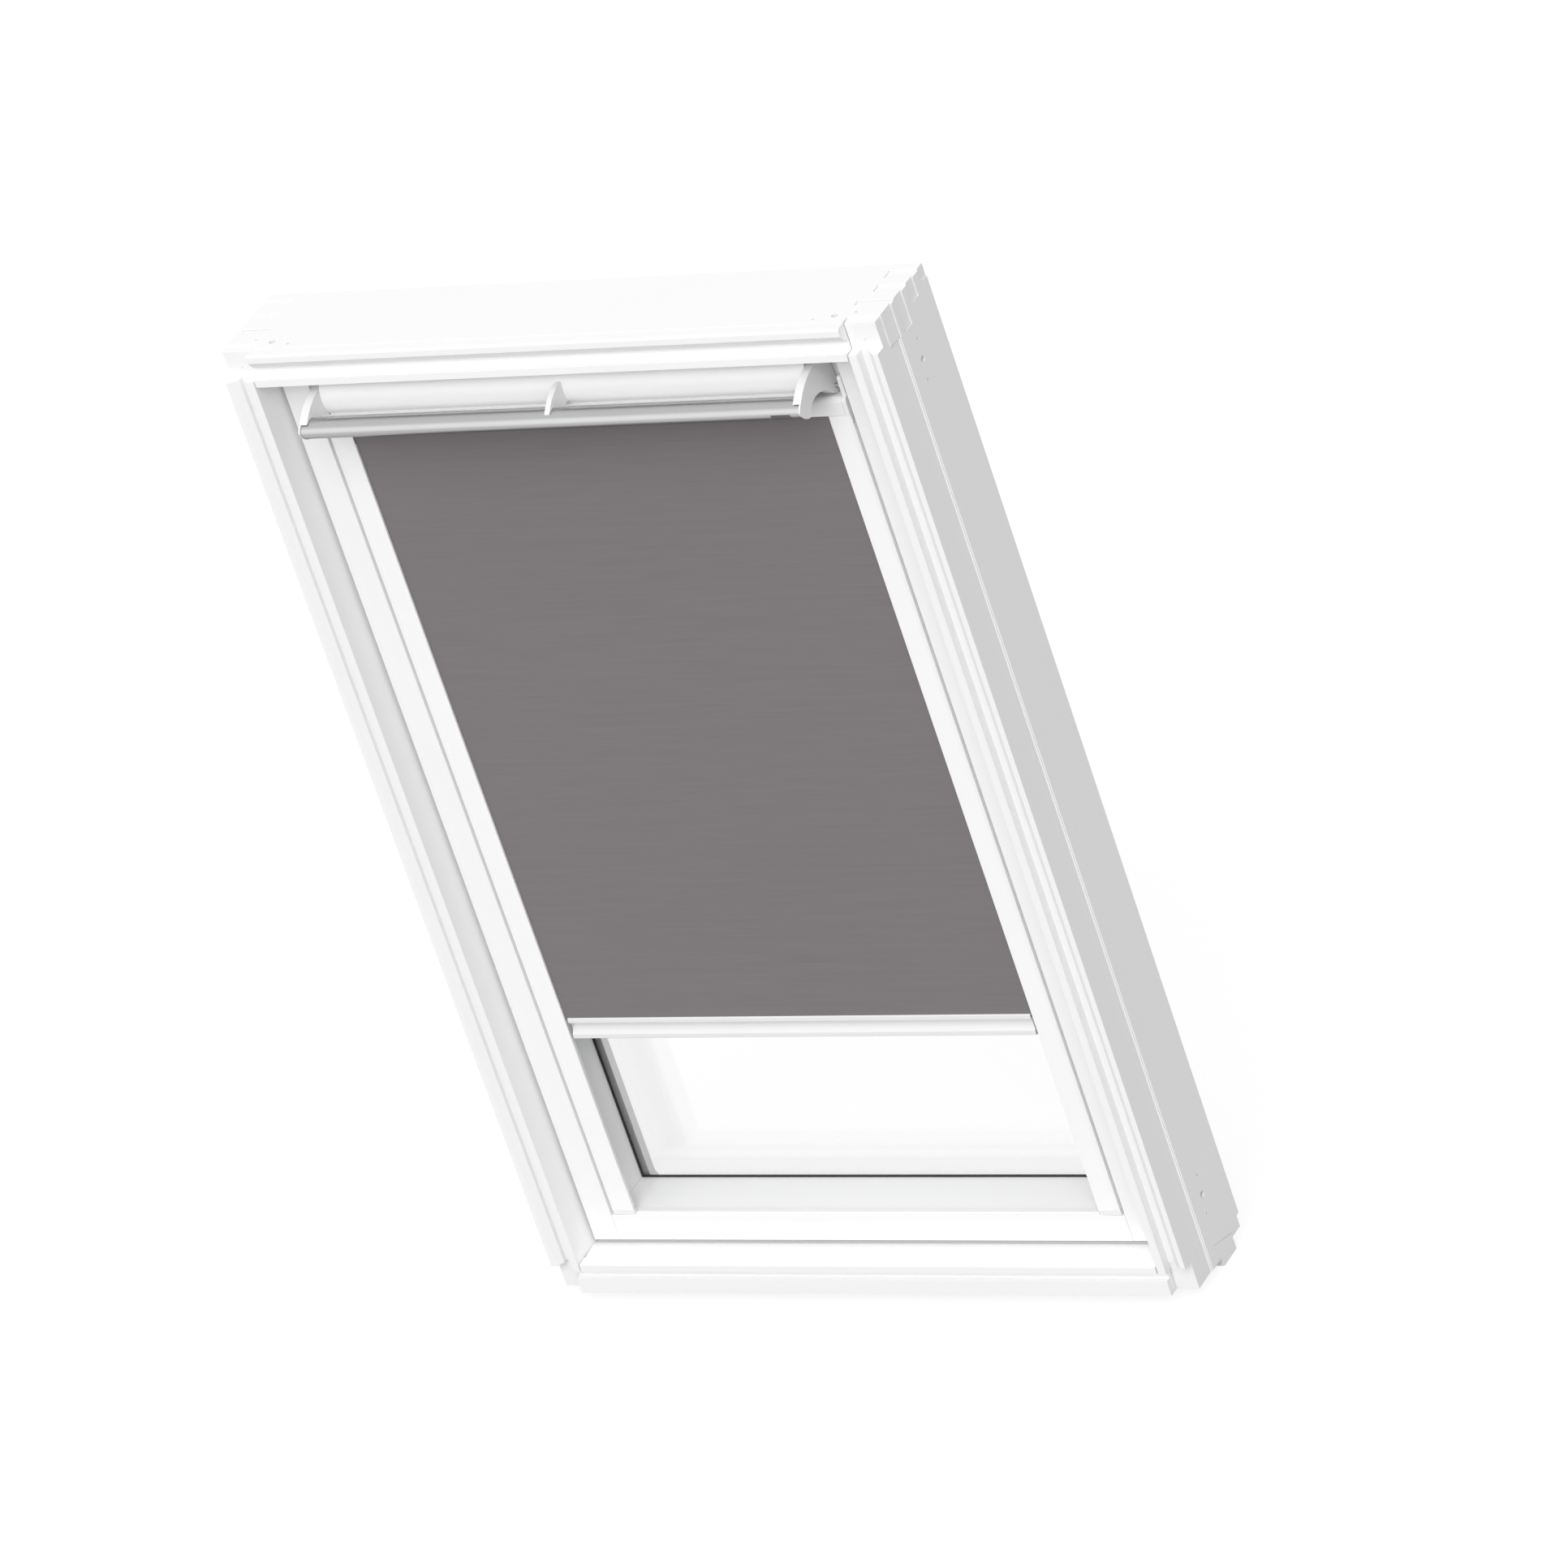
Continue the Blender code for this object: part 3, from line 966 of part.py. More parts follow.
def build_channels(white, plastic, sash):
    """Side channels on the reveals, the foot of each, and the catch strip on the bottom rail."""
    slot_back = SLOT_FRONT + SLOT_WIDTH
    web = CHANNEL_OUT - CHANNEL_WEB
    top = CASING_DROP + CASING_REAR + GAP
    bottom = RAIL_TOP_DROP - GAP - CHANNEL_FOOT
    lip_back = slot_back + CHANNEL_LIP
    turn_in = lip_back + CHANNEL_RETURN
    face_back = CHANNEL_FRONT + CHANNEL_SLOPE
    flange = web + CHANNEL_RETURN
    meets = turn_in + CHANNEL_RETURN
    for side in (-1, 1):
        name = side_name(side)
        widths = [
            (CHANNEL_OUT, CHANNEL_FRONT), (CHANNEL_HALF_GAP + CHANNEL_EDGE, face_back),
            (CHANNEL_HALF_GAP, face_back + CHANNEL_EDGE), (CHANNEL_HALF_GAP, SLOT_FRONT),
            (web, SLOT_FRONT), (web, slot_back), (CHANNEL_HALF_GAP + CHANNEL_LIP, slot_back),
            (CHANNEL_HALF_GAP + CHANNEL_LIP, lip_back), (flange, lip_back), (flange, CHANNEL_BACK),
            (reveal_half(CHANNEL_BACK) - GAP, CHANNEL_BACK), (reveal_half(meets) - GAP, meets),
            (CHANNEL_OUT, turn_in)]
        outline = plan([(side * half, depth) for half, depth in widths])
        channel = extrude("channel_" + name, [outline], "z", z_at(bottom), z_at(CASING_DROP + APRON + GAP),
                          white, sash)
        behind = extrude("channel_top_cut_" + name,
                         [section(rectangle(CASING_FRONT + CASING_WALL, CASING_BACK + CLEAR,
                                            CASING_DROP, top))],
                         "x", *span(side, CHANNEL_HALF_GAP - CLEAR, CHANNEL_OUT + CLEAR))
        cut(channel, behind)
        foot = plan([(side * half, depth) for half, depth in (
            (CHANNEL_OUT, CHANNEL_FRONT + GAP), (CHANNEL_HALF_GAP + CHANNEL_EDGE, face_back),
            (CHANNEL_HALF_GAP, face_back + CHANNEL_EDGE), (CHANNEL_HALF_GAP, lip_back),
            (CHANNEL_OUT, lip_back))])
        extrude("channel_foot_" + name, [foot], "z", z_at(RAIL_TOP_DROP - 2 * GAP), z_at(bottom + GAP),
                plastic, sash)
    lead = RAIL_SPLAY / (GLASS_DEPTH - SASH_FRONT)
    start, end = SASH_FRONT + CATCH_INSET, SASH_FRONT + CATCH_INSET + CATCH_DEPTH
    near = RAIL_TOP_DROP - lead * CATCH_INSET - GAP
    far = RAIL_TOP_DROP - lead * (end - SASH_FRONT) - GAP
    outline = section([(start, near), (end, far), (end, far - CATCH_HEIGHT + CATCH_EDGE),
                       (start + CATCH_EDGE, near - CATCH_HEIGHT), (start, near - CATCH_HEIGHT + CATCH_EDGE)])
    strip_half = CHANNEL_HALF_GAP - CATCH_EDGE
    extrude("catch_strip", [outline], "x", -strip_half, strip_half, white, sash)


def build_cloth(cloth, sash):
    """The free cloth, between the roller and the pull bar."""
    half = CLOTH_THICKNESS / 2
    outline = section(rectangle(CLOTH_DEPTH - half, CLOTH_DEPTH + half, ROLLER_DROP, BAR_DOWN + HEM))
    extrude("blackout_cloth", [outline], "x", -CLOTH_HALF_WIDTH, CLOTH_HALF_WIDTH, cloth, sash)


def build_pull_bar(metal, plastic, slide):
    """Pull bar with its finger groove and the slot that grips the cloth, and a glide at each end."""
    front, back = PULL_BAR_FRONT, PULL_BAR_FRONT + PULL_BAR_THICKNESS
    top, low = BAR_DOWN, BAR_DOWN + PULL_BAR_HEIGHT
    hollow_top, hollow_low = top + PULL_BAR_TOP_LIP, low - PULL_BAR_LOW_LIP
    steps = 8
    hollow = [(front + PULL_BAR_HOLLOW * sin(pi * i / steps),
               hollow_top + (hollow_low - hollow_top) * i / steps) for i in range(steps + 1)]
    grip = CLOTH_THICKNESS / 2 + GAP
    outline = section(
        [(front + PULL_BAR_EDGE, top), (front, top + PULL_BAR_EDGE)] + hollow
        + [(front, low - PULL_BAR_EDGE), (front + PULL_BAR_EDGE, low)]
        + [(back, low), (back, top), (CLOTH_DEPTH + grip, top), (CLOTH_DEPTH + grip, top + HEM + GAP),
           (CLOTH_DEPTH - grip, top + HEM + GAP), (CLOTH_DEPTH - grip, top)])
    extrude("pull_bar", [outline], "x", -PULL_BAR_HALF, PULL_BAR_HALF, metal, slide)
    middle = (top + low) / 2
    for side in (-1, 1):
        start = PULL_BAR_HALF + GAP
        plate = start + GLIDE_PLATE
        tongue = plate + GLIDE_REACH
        slot_back = SLOT_FRONT + SLOT_WIDTH - GAP
        widths = [(start, front + GLIDE_SET), (plate, front + GLIDE_SET), (plate, SLOT_FRONT + GAP),
                  (tongue, SLOT_FRONT + GAP), (tongue, slot_back), (plate, slot_back),
                  (plate, back - GLIDE_SET), (start, back - GLIDE_SET)]
        outline = plan([(side * half, depth) for half, depth in widths])
        extrude("glide_" + side_name(side), [outline], "z", z_at(middle + GLIDE_HEIGHT / 2),
                z_at(middle - GLIDE_HEIGHT / 2), plastic, slide)


def main():
    """Clear the scene and build the window."""
    for old in list(bpy.data.objects):
        bpy.data.objects.remove(old, do_unlink=True)
    white = finish("white_frame", (0.90, 0.90, 0.90), 0.35)
    casing = finish("white_casing", (0.86, 0.86, 0.86), 0.40)
    bar_metal = finish("brushed_aluminium", (0.62, 0.62, 0.63), 0.32, 1.0)
    steel = finish("zinc_steel", (0.55, 0.55, 0.56), 0.38, 1.0)
    rubber = finish("black_seal", (0.03, 0.03, 0.03), 0.75)
    glass = finish("glass", (0.82, 0.88, 0.88), 0.03)
    plastic = finish("grey_plastic", (0.30, 0.30, 0.31), 0.50)
    cloth = finish("grey_cloth", (0.21, 0.20, 0.20), 0.85)
    cover = finish("painted_aluminium", (0.16, 0.16, 0.17), 0.45, 0.6)

    sash = empty("sash_pivot", y_at(PIVOT_DEPTH), z_at(PIVOT_DROP))
    flap = empty("flap_hinge", y_at(HINGE_DEPTH), z_at(HINGE_DROP), sash)
    bolt = empty("bolt_slide", y_at(BOLT_DEPTH), z_at(BOLT_DROP), sash)
    roller = empty("roller_axis", y_at(ROLLER_DEPTH), z_at(ROLLER_DROP), sash)
    pull = empty("pull_slide", y_at(CLOTH_DEPTH), z_at(BAR_DOWN), sash)

    build_head(white)
    build_sill(white)
    for side in (-1, 1):
        build_side(side, white)
    build_frame_seals(rubber)
    for side in (-1, 1):
        stile = build_stile(side, white, sash)
        build_pivots(side, steel, plastic, sash, stile)
    build_rails(white, sash)
    build_glazing(glass, rubber, steel, sash)
    build_covers(cover, sash)
    build_flap(white, bar_metal, rubber, flap)
    build_latch(steel, sash, bolt)
    build_casing(casing, steel, sash)
    build_roller(bar_metal, plastic, cloth, sash, roller)
    build_spring(steel, sash)
    build_channels(casing, plastic, sash)
    build_cloth(cloth, sash)
    build_pull_bar(bar_metal, plastic, pull)


main()
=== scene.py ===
"""Skylight window blind: finished pieces, finishes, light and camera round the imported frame.

Metres, +Z up along the window, the room on the -Y side and the weather on the +Y side.  A depth is
measured outward from the frame's room face, a drop down from the frame's top face.
"""
import json
import logging
from dataclasses import dataclass, field
from enum import Enum
from math import cos, pi, radians, sin, tau
from typing import Callable, Optional, Sequence

import bmesh
import bpy
from mathutils import Matrix, Vector

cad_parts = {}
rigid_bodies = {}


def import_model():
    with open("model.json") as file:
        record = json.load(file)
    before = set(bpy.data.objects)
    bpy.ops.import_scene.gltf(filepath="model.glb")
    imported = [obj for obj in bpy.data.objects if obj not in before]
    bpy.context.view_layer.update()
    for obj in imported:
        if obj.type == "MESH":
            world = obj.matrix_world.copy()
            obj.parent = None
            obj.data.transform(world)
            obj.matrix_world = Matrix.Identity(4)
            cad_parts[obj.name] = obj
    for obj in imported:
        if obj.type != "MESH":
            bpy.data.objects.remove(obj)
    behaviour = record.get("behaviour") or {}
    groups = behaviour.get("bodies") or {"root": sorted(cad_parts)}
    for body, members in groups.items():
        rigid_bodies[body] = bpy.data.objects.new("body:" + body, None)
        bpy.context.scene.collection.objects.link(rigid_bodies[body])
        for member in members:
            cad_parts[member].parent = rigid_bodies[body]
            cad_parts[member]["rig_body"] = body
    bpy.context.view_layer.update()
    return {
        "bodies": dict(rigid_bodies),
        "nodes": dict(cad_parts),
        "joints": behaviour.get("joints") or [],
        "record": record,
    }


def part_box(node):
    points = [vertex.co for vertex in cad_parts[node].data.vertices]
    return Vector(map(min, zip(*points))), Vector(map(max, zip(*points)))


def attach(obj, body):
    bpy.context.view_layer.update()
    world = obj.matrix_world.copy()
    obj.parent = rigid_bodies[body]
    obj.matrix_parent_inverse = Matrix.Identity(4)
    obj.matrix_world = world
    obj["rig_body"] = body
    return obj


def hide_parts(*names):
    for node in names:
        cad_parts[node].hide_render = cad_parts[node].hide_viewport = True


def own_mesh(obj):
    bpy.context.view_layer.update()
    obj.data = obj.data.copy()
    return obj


LOG = logging.getLogger("skylight_window_blind")

Colour = tuple[float, float, float]
Section = Sequence[tuple[float, float]]
Mesh = bmesh.types.BMesh
Socket = bpy.types.NodeSocket

# Where the frame's room face and top face lie
ROOM_FACE_Y = -0.04755
TOP_Z = 1.1885

ACROSS = Vector((1, 0, 0))
OUTWARD = Vector((0, 1, 0))
UP = Vector((0, 0, 1))

SIDES = ((-1, "left"), (1, "right"))
MERGE_DISTANCE = 0.00002
FLAT_ANGLE = radians(0.6)
CREASE_ANGLE = radians(38.0)
# Within this distance of a cut's plane a vertex counts as on it
CUT_REACH = 1e-7
# Past every piece, in metres
FAR = 2.0
# A face counts as on the room or the weather side if its normal's Y passes this
FACING = 0.5
# Least angles in degrees of an edge that is rounded: on most pieces, on mouldings and on curved ones
PLAIN_CREASE = 26.0
MOULDED_CREASE = 34.0
CURVED_CREASE = 40.0


def y_at(depth: float) -> float:
    """Y of a plane this far outward from the frame's room face."""
    return ROOM_FACE_Y + depth


def z_at(drop: float) -> float:
    """Z of a plane this far below the frame's top face."""
    return TOP_Z - drop


def middle_of(node: str) -> Vector:
    """The middle of a CAD node's box."""
    return (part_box(node)[0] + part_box(node)[1]) / 2


def put(name: str, data: bpy.types.ID) -> bpy.types.Object:
    """A new object at the origin, linked to the scene.

    Args:
        name: Its name.
        data: Its mesh, camera or lamp.

    Returns:
        The object.
    """
    made = bpy.data.objects.new(name, data)
    bpy.context.scene.collection.objects.link(made)
    return made


def kept(name: str, bm: Mesh) -> bpy.types.Mesh:
    """A mesh that keeps a bmesh's shape.

    Args:
        name: Its name.
        bm: The bmesh, in place; it is freed.

    Returns:
        The mesh.
    """
    mesh = bpy.data.meshes.new(name)
    bm.to_mesh(mesh)
    bm.free()
    return mesh


def round_off(bm: Mesh, edges: Sequence[bmesh.types.BMEdge], reach: float, segments: int) -> None:
    """Bevel edges to a round that starts this far from each and has this many segments."""
    bmesh.ops.bevel(bm, geom=edges, offset=reach, offset_type="OFFSET", segments=segments,
                    profile=0.5, affect="EDGES", clamp_overlap=True, material=-1)


def cut_off(bm: Mesh, place: Vector, normal: Vector) -> None:
    """Remove what lies beyond a plane, on the side that its normal points to."""
    bmesh.ops.bisect_plane(bm, geom=bm.verts[:] + bm.edges[:] + bm.faces[:], dist=CUT_REACH,
                           plane_co=place, plane_no=normal, clear_outer=True)


def thicken(bm: Mesh, by: Vector) -> None:
    """Make a flat mesh a closed one.

    Args:
        bm: The mesh.
        by: The way and the distance from its faces to their copies.
    """
    lifted = bmesh.ops.extrude_face_region(bm, geom=bm.faces[:])["geom"]
    moved = [item for item in lifted if isinstance(item, bmesh.types.BMVert)]
    bmesh.ops.translate(bm, verts=moved, vec=by)
    bmesh.ops.recalc_face_normals(bm, faces=bm.faces)


class Slot(Enum):
    """Material slots of the record."""

    WHITE_FRAME = "white_frame"
    WHITE_CASING = "white_casing"
    WHITE_ALUMINIUM = "white_aluminium"
    BRUSHED_ALUMINIUM = "brushed_aluminium"
    ZINC_STEEL = "zinc_steel"
    BLACK_SEAL = "black_seal"
    GLASS = "glass"
    GREY_PLASTIC = "grey_plastic"
    GREY_CLOTH = "grey_cloth"
    PAINTED_ALUMINIUM = "painted_aluminium"


class Run(Enum):
    """The way a grain, a brush mark or a profile runs."""

    ALONG_X = (1.0, 0.0, 0.0)
    ALONG_Z = (0.0, 0.0, 1.0)

    def squeezed(self, length: float, width: float) -> tuple[float, float, float]:
        """Scales that make a pattern this long along the run and this wide across it."""
        return tuple(1.0 / length if axis else 1.0 / width for axis in self.value)


class Graph:
    """A node tree that is filled in by short calls."""

    def __init__(self, tree: bpy.types.NodeTree) -> None:
        """Keep a material's, a world's or a group's node tree."""
        self.tree = tree

    def fill(self, node: bpy.types.Node, inputs: dict) -> None:
        """Link or set a node's inputs.

        Args:
            node: The node.
            inputs: Values or sockets, by input name or number.
        """
        for name, value in inputs.items():
            if isinstance(value, bpy.types.NodeSocket):
                self.tree.links.new(value, node.inputs[name])
            else:
                node.inputs[name].default_value = value

    def add(self, kind: str, inputs: Optional[dict] = None, **settings) -> bpy.types.Node:
        """Add a node.

        Args:
            kind: The node's type name without "ShaderNode".
            inputs: Values or sockets for its inputs.
            **settings: Properties of the node.

        Returns:
            The node.
        """
        node = self.tree.nodes.new("ShaderNode" + kind)
        for name, value in settings.items():
            setattr(node, name, value)
        self.fill(node, inputs or {})
        return node

    def math(self, operation: str, *values) -> Socket:
        """The result of a Math node with numbers or sockets for its inputs."""
        return self.add("Math", dict(enumerate(values)), operation=operation).outputs[0]

    def noise(self, vector: Socket, scale, detail: float = 2.0) -> Socket:
        """The value of a Noise Texture, about 0.5 on average."""
        return self.add("TexNoise", {"Vector": vector, "Scale": scale, "Detail": detail}).outputs["Fac"]

    def mapped(self, vector: Socket, scale: Sequence[float]) -> Socket:
        """Coordinates scaled on each axis by a Mapping node."""
        return self.add("Mapping", {"Vector": vector, "Scale": tuple(scale)}).outputs["Vector"]

    def varied(self, mask: Socket, spread, base) -> Socket:
        """A base value that varies by a spread as a mask does about 0.5."""
        return self.math("MULTIPLY_ADD", self.math("SUBTRACT", mask, 0.5), spread, base)

    def blended(self, more: Socket, less: Socket) -> Socket:
        """Three parts of one value and two of another."""
        return self.math("MULTIPLY_ADD", more, 0.6, self.math("MULTIPLY", less, 0.4))

    def tinted(self, colour, factor, other) -> Socket:
        """A colour mixed with another by a factor."""
        return self.add("Mix", {0: factor, 6: colour, 7: other}, data_type="RGBA",
                        clamp_factor=True).outputs[2]

    def scaled(self, colour: Socket, level: Socket) -> Socket:
        """A colour made lighter or darker by a level."""
        return self.add("VectorMath", {0: colour, "Scale": level}, operation="SCALE").outputs[0]

    def relief(self, height: Socket, depth) -> Socket:
        """The normal of a surface with a relief this deep."""
        return self.add("Bump", {"Height": height, "Distance": depth, "Strength": 1.0}).outputs["Normal"]


class Effects:
    """Node groups for what several finishes share.  Each is built once."""

    # Kinds of the sockets that aren't plain numbers
    kinds = {"Vector": "Vector", "Normal": "Vector", "Color": "Color"}
    # Marks per metre on each axis of the cloth, for one yarn and for a bundle of them
    yarn_marks = (14.0, 14.0, 760.0)
    bundle_marks = (5.0, 5.0, 190.0)

    def __init__(self) -> None:
        """Start with no group made."""
        self.made: dict[str, bpy.types.NodeTree] = {}

    def group(self, name: str, takes: str, gives: str,
              fill: Callable[[Graph, dict], dict]) -> bpy.types.NodeTree:
        """A node group, made on the first call.

        Args:
            name: The group's name.
            takes: The names of its inputs, with spaces between them.
            gives: The names of its outputs.
            fill: Adds the nodes and returns a socket for each output.

        Returns:
            The group.
        """
        if name in self.made:
            return self.made[name]
        tree = bpy.data.node_groups.new(name, "ShaderNodeTree")
        for way, titles in (("INPUT", takes), ("OUTPUT", gives)):
            for title in titles.split():
                tree.interface.new_socket(name=title, in_out=way,
                                          socket_type="NodeSocket" + self.kinds.get(title, "Float"))
        graph = Graph(tree)
        given = dict(tree.nodes.new("NodeGroupInput").outputs.items())
        graph.fill(tree.nodes.new("NodeGroupOutput"), fill(graph, given))
        self.made[name] = tree
        return tree

    def tone_drift(self) -> bpy.types.NodeTree:
        """Slow light and dark drift over a coat.

        Returns:
            The group.
        """
        def fill(graph: Graph, given: dict) -> dict:
            """Scale the colour by a broad noise."""
            drift = graph.noise(given["Vector"], given["Scale"], 3.0)
            return {"Color": graph.scaled(given["Color"], graph.varied(drift, given["Amount"], 1.0))}
        return self.group("tone_drift", "Vector Color Scale Amount", "Color", fill)

    def skin_grain(self) -> bpy.types.NodeTree:
        """Fine relief and uneven gloss of a skin.

        Returns:
            The group.
        """
        def fill(graph: Graph, given: dict) -> dict:
            """Raise a fine noise, and vary the gloss by a broad one.

            Args:
                graph: The group's graph.
                given: Its inputs by name.

            Returns:
                Its outputs by name.
            """
            grain = graph.noise(given["Vector"], given["Scale"], 4.0)
            patches = graph.noise(given["Vector"], 35.0, 3.0)
            return {"Normal": graph.relief(grain, given["Depth"]),
                    "Roughness": graph.varied(patches, given["Spread"], given["Roughness"])}
        return self.group("skin_grain", "Vector Scale Depth Roughness Spread", "Normal Roughness", fill)

    def brush_lines(self) -> bpy.types.NodeTree:
        """Long fine lines, along the axis on which the coordinates are squeezed least.

        Returns:
            The group.
        """
        def fill(graph: Graph, given: dict) -> dict:
            """Raise two noises, and vary the gloss by them.

            Args:
                graph: The group's graph.
                given: Its inputs by name.

            Returns:
                Its outputs by name.
            """
            mask = graph.blended(graph.noise(given["Vector"], 3.7, 3.0), graph.noise(given["Vector"], 1.0))
            return {"Mask": mask, "Normal": graph.relief(mask, given["Depth"]),
                    "Roughness": graph.varied(mask, given["Spread"], given["Roughness"])}
        return self.group("brush_lines", "Vector Depth Roughness Spread", "Mask Normal Roughness", fill)

    def plain_weave(self) -> bpy.types.NodeTree:
        """Over-and-under threads with long slubs.

        Returns:
            The group.
        """
        def fill(graph: Graph, given: dict) -> dict:
            """Cross two rows of threads, and lay long slubs over them.

            Args:
                graph: The group's graph.
                given: Its inputs by name.

            Returns:
                Its outputs by name.
            """
            place = graph.add("SeparateXYZ", {"Vector": given["Vector"]})
            turns = graph.math("DIVIDE", pi, given["Pitch"])
            across = graph.math("SINE", graph.math("MULTIPLY", place.outputs["X"], turns))
            along = graph.math("SINE", graph.math("MULTIPLY", place.outputs["Z"], turns))
            threads = graph.math("MULTIPLY_ADD", graph.math("MULTIPLY", across, along), 0.5, 0.5)
            yarn = graph.noise(graph.mapped(given["Vector"], self.yarn_marks), 1.0)
            bundle = graph.noise(graph.mapped(given["Vector"], self.bundle_marks), 1.0)
            level = graph.varied(graph.blended(yarn, bundle), given["Slub"], 1.0)
            level = graph.varied(threads, given["Contrast"], level)
            height = graph.math("MULTIPLY_ADD", yarn, 0.5, threads)
            return {"Color": graph.scaled(given["Color"], level),
                    "Normal": graph.relief(height, given["Depth"])}
        return self.group("plain_weave", "Vector Pitch Color Slub Contrast Depth", "Color Normal", fill)


EFFECTS = Effects()


def opened(name: str) -> tuple[bpy.types.Material, Graph, bpy.types.Node, Socket]:
    """Start a material.

    Args:
        name: Its name.

    Returns:
        The material, its graph, its Principled shader and its Object coordinates.
    """
    material = bpy.data.materials.new(name)
    material.use_nodes = True
    graph = Graph(material.node_tree)
    shader = material.node_tree.nodes["Principled BSDF"]
    return material, graph, shader, graph.add("TexCoord").outputs["Object"]


def placed(graph: Graph, tree: bpy.types.NodeTree, inputs: dict) -> dict[str, Socket]:
    """Put an effect's node group into a material and give its outputs by name."""
    return dict(graph.add("Group", inputs, node_tree=tree).outputs.items())


def drifted(graph: Graph, place: Socket, colour, drift: tuple[float, float]) -> Socket:
    """A colour with a slow drift over it, given as its scale and its amount."""
    return placed(graph, EFFECTS.tone_drift(), {
        "Vector": place, "Color": colour, "Scale": drift[0], "Amount": drift[1]})["Color"]


@dataclass(frozen=True)
class Skin:
    """A coated or moulded skin: lacquer, powder coat, plastic or rubber."""

    name: str
    colour: Colour
    slot: Slot
    roughness: float
    grain_size: float
    grain_depth: float
    drift: float = 0.03
    metallic: float = 0.0
    coat: float = 0.0
    specular: float = 0.5
    drift_scale: float = 7.0
    spread: float = 0.12

    def build(self) -> bpy.types.Material:
        """Make the material.

        Returns:
            The material, with its nodes.
        """
        material, graph, shader, place = opened(self.name)
        skin = placed(graph, EFFECTS.skin_grain(), {
            "Vector": place, "Scale": 1.0 / self.grain_size, "Depth": self.grain_depth,
            "Roughness": self.roughness, "Spread": self.spread})
        graph.fill(shader, {
            "Base Color": drifted(graph, place, (*self.colour, 1.0), (self.drift_scale, self.drift)),
            "Roughness": skin["Roughness"], "Normal": skin["Normal"], "Metallic": self.metallic,
            "Coat Weight": self.coat, "Specular IOR Level": self.specular})
        return material


@dataclass(frozen=True)
class LacqueredWood:
    """White lacquer over planed softwood, with the grain just telegraphing through."""

    name: str
    run: Run
    colour: Colour = (0.90, 0.90, 0.90)
    slot: Slot = Slot.WHITE_FRAME
    roughness: float = 0.36
    spread: float = 0.14
    grain_length: float = 0.16
    grain_width: float = 0.0032
    grain_depth: float = 0.000012
    peel_scale: float = 420.0
    peel_depth: float = 0.000006
    drift: tuple[float, float] = (5.0, 0.02)

    def build(self) -> bpy.types.Material:
        """Make the material.

        Returns:
            The material, with its nodes.
        """
        material, graph, shader, place = opened(self.name)
        grain = placed(graph, EFFECTS.brush_lines(), {
            "Vector": graph.mapped(place, self.run.squeezed(self.grain_length, self.grain_width)),
            "Depth": self.grain_depth, "Roughness": self.roughness, "Spread": self.spread})
        peel = graph.add("Bump", {
            "Height": graph.noise(place, self.peel_scale), "Distance": self.peel_depth, "Strength": 1.0,
            "Normal": grain["Normal"]})
        graph.fill(shader, {
            "Base Color": drifted(graph, place, (*self.colour, 1.0), self.drift),
            "Roughness": grain["Roughness"], "Normal": peel.outputs["Normal"]})
        return material


@dataclass(frozen=True)
class BrushedMetal:
    """Drawn and anodised aluminium, or zinc-plated steel, with lines along the run.

    Painted light bands are (share of the height, level) pairs: painted shade and painted highlight strips
    across the section's height.
    """

    name: str
    colour: Colour
    run: Run
    slot: Slot
    roughness: float = 0.34
    line_length: float = 0.09
    line_width: float = 0.0006
    contrast: float = 0.16
    metallic: float = 1.0
    painted_light_bands: Section = ()
    painted_light_reach: tuple[float, float] = (0.0, 1.0)
    line_depth: float = 0.000008
    spread: float = 0.22
    drift: tuple[float, float] = (11.0, 0.06)

    def build(self) -> bpy.types.Material:
        """Make the material.

        Returns:
            The material, with its nodes.
        """
        material, graph, shader, place = opened(self.name)
        lines = placed(graph, EFFECTS.brush_lines(), {
            "Vector": graph.mapped(place, self.run.squeezed(self.line_length, self.line_width)),
            "Depth": self.line_depth, "Roughness": self.roughness, "Spread": self.spread})
        low, high = (tuple(min(1.0, c * (1.0 + change)) for c in self.colour) + (1.0,)
                     for change in (-self.contrast, self.contrast))
        streaked = graph.tinted(low, lines["Mask"], high)
        # Painted light: the colour is scaled by height into painted highlight and painted shade strips
        if self.painted_light_bands:
            streaked = self.with_painted_light(graph, place, streaked)
        graph.fill(shader, {
            "Base Color": drifted(graph, place, streaked, self.drift), "Roughness": lines["Roughness"],
            "Normal": lines["Normal"], "Metallic": self.metallic})
        return material

    def with_painted_light(self, graph: Graph, place: Socket, colour: Socket) -> Socket:
        """The colour scaled by the painted light bands.

        Args:
            graph: The material's graph.
            place: Object coordinates.
            colour: The colour before the painted light.

        Returns:
            The colour with painted highlight and painted shade.
        """
        height = graph.add("SeparateXYZ", {"Vector": place}).outputs["Z"]
        share = graph.add("MapRange", {
            "Value": height, "From Min": self.painted_light_reach[0], "From Max": self.painted_light_reach[1]})
        ramp = graph.add("ValToRGB", {"Fac": share.outputs["Result"]})
        while len(ramp.color_ramp.elements) < len(self.painted_light_bands):
            ramp.color_ramp.elements.new(1.0)
        for stop, (position, level) in zip(ramp.color_ramp.elements, self.painted_light_bands):
            stop.position = position
            stop.color = (level, level, level, 1.0)
        return graph.add("VectorMath", {0: colour, 1: ramp.outputs["Color"]},
                         operation="MULTIPLY").outputs[0]


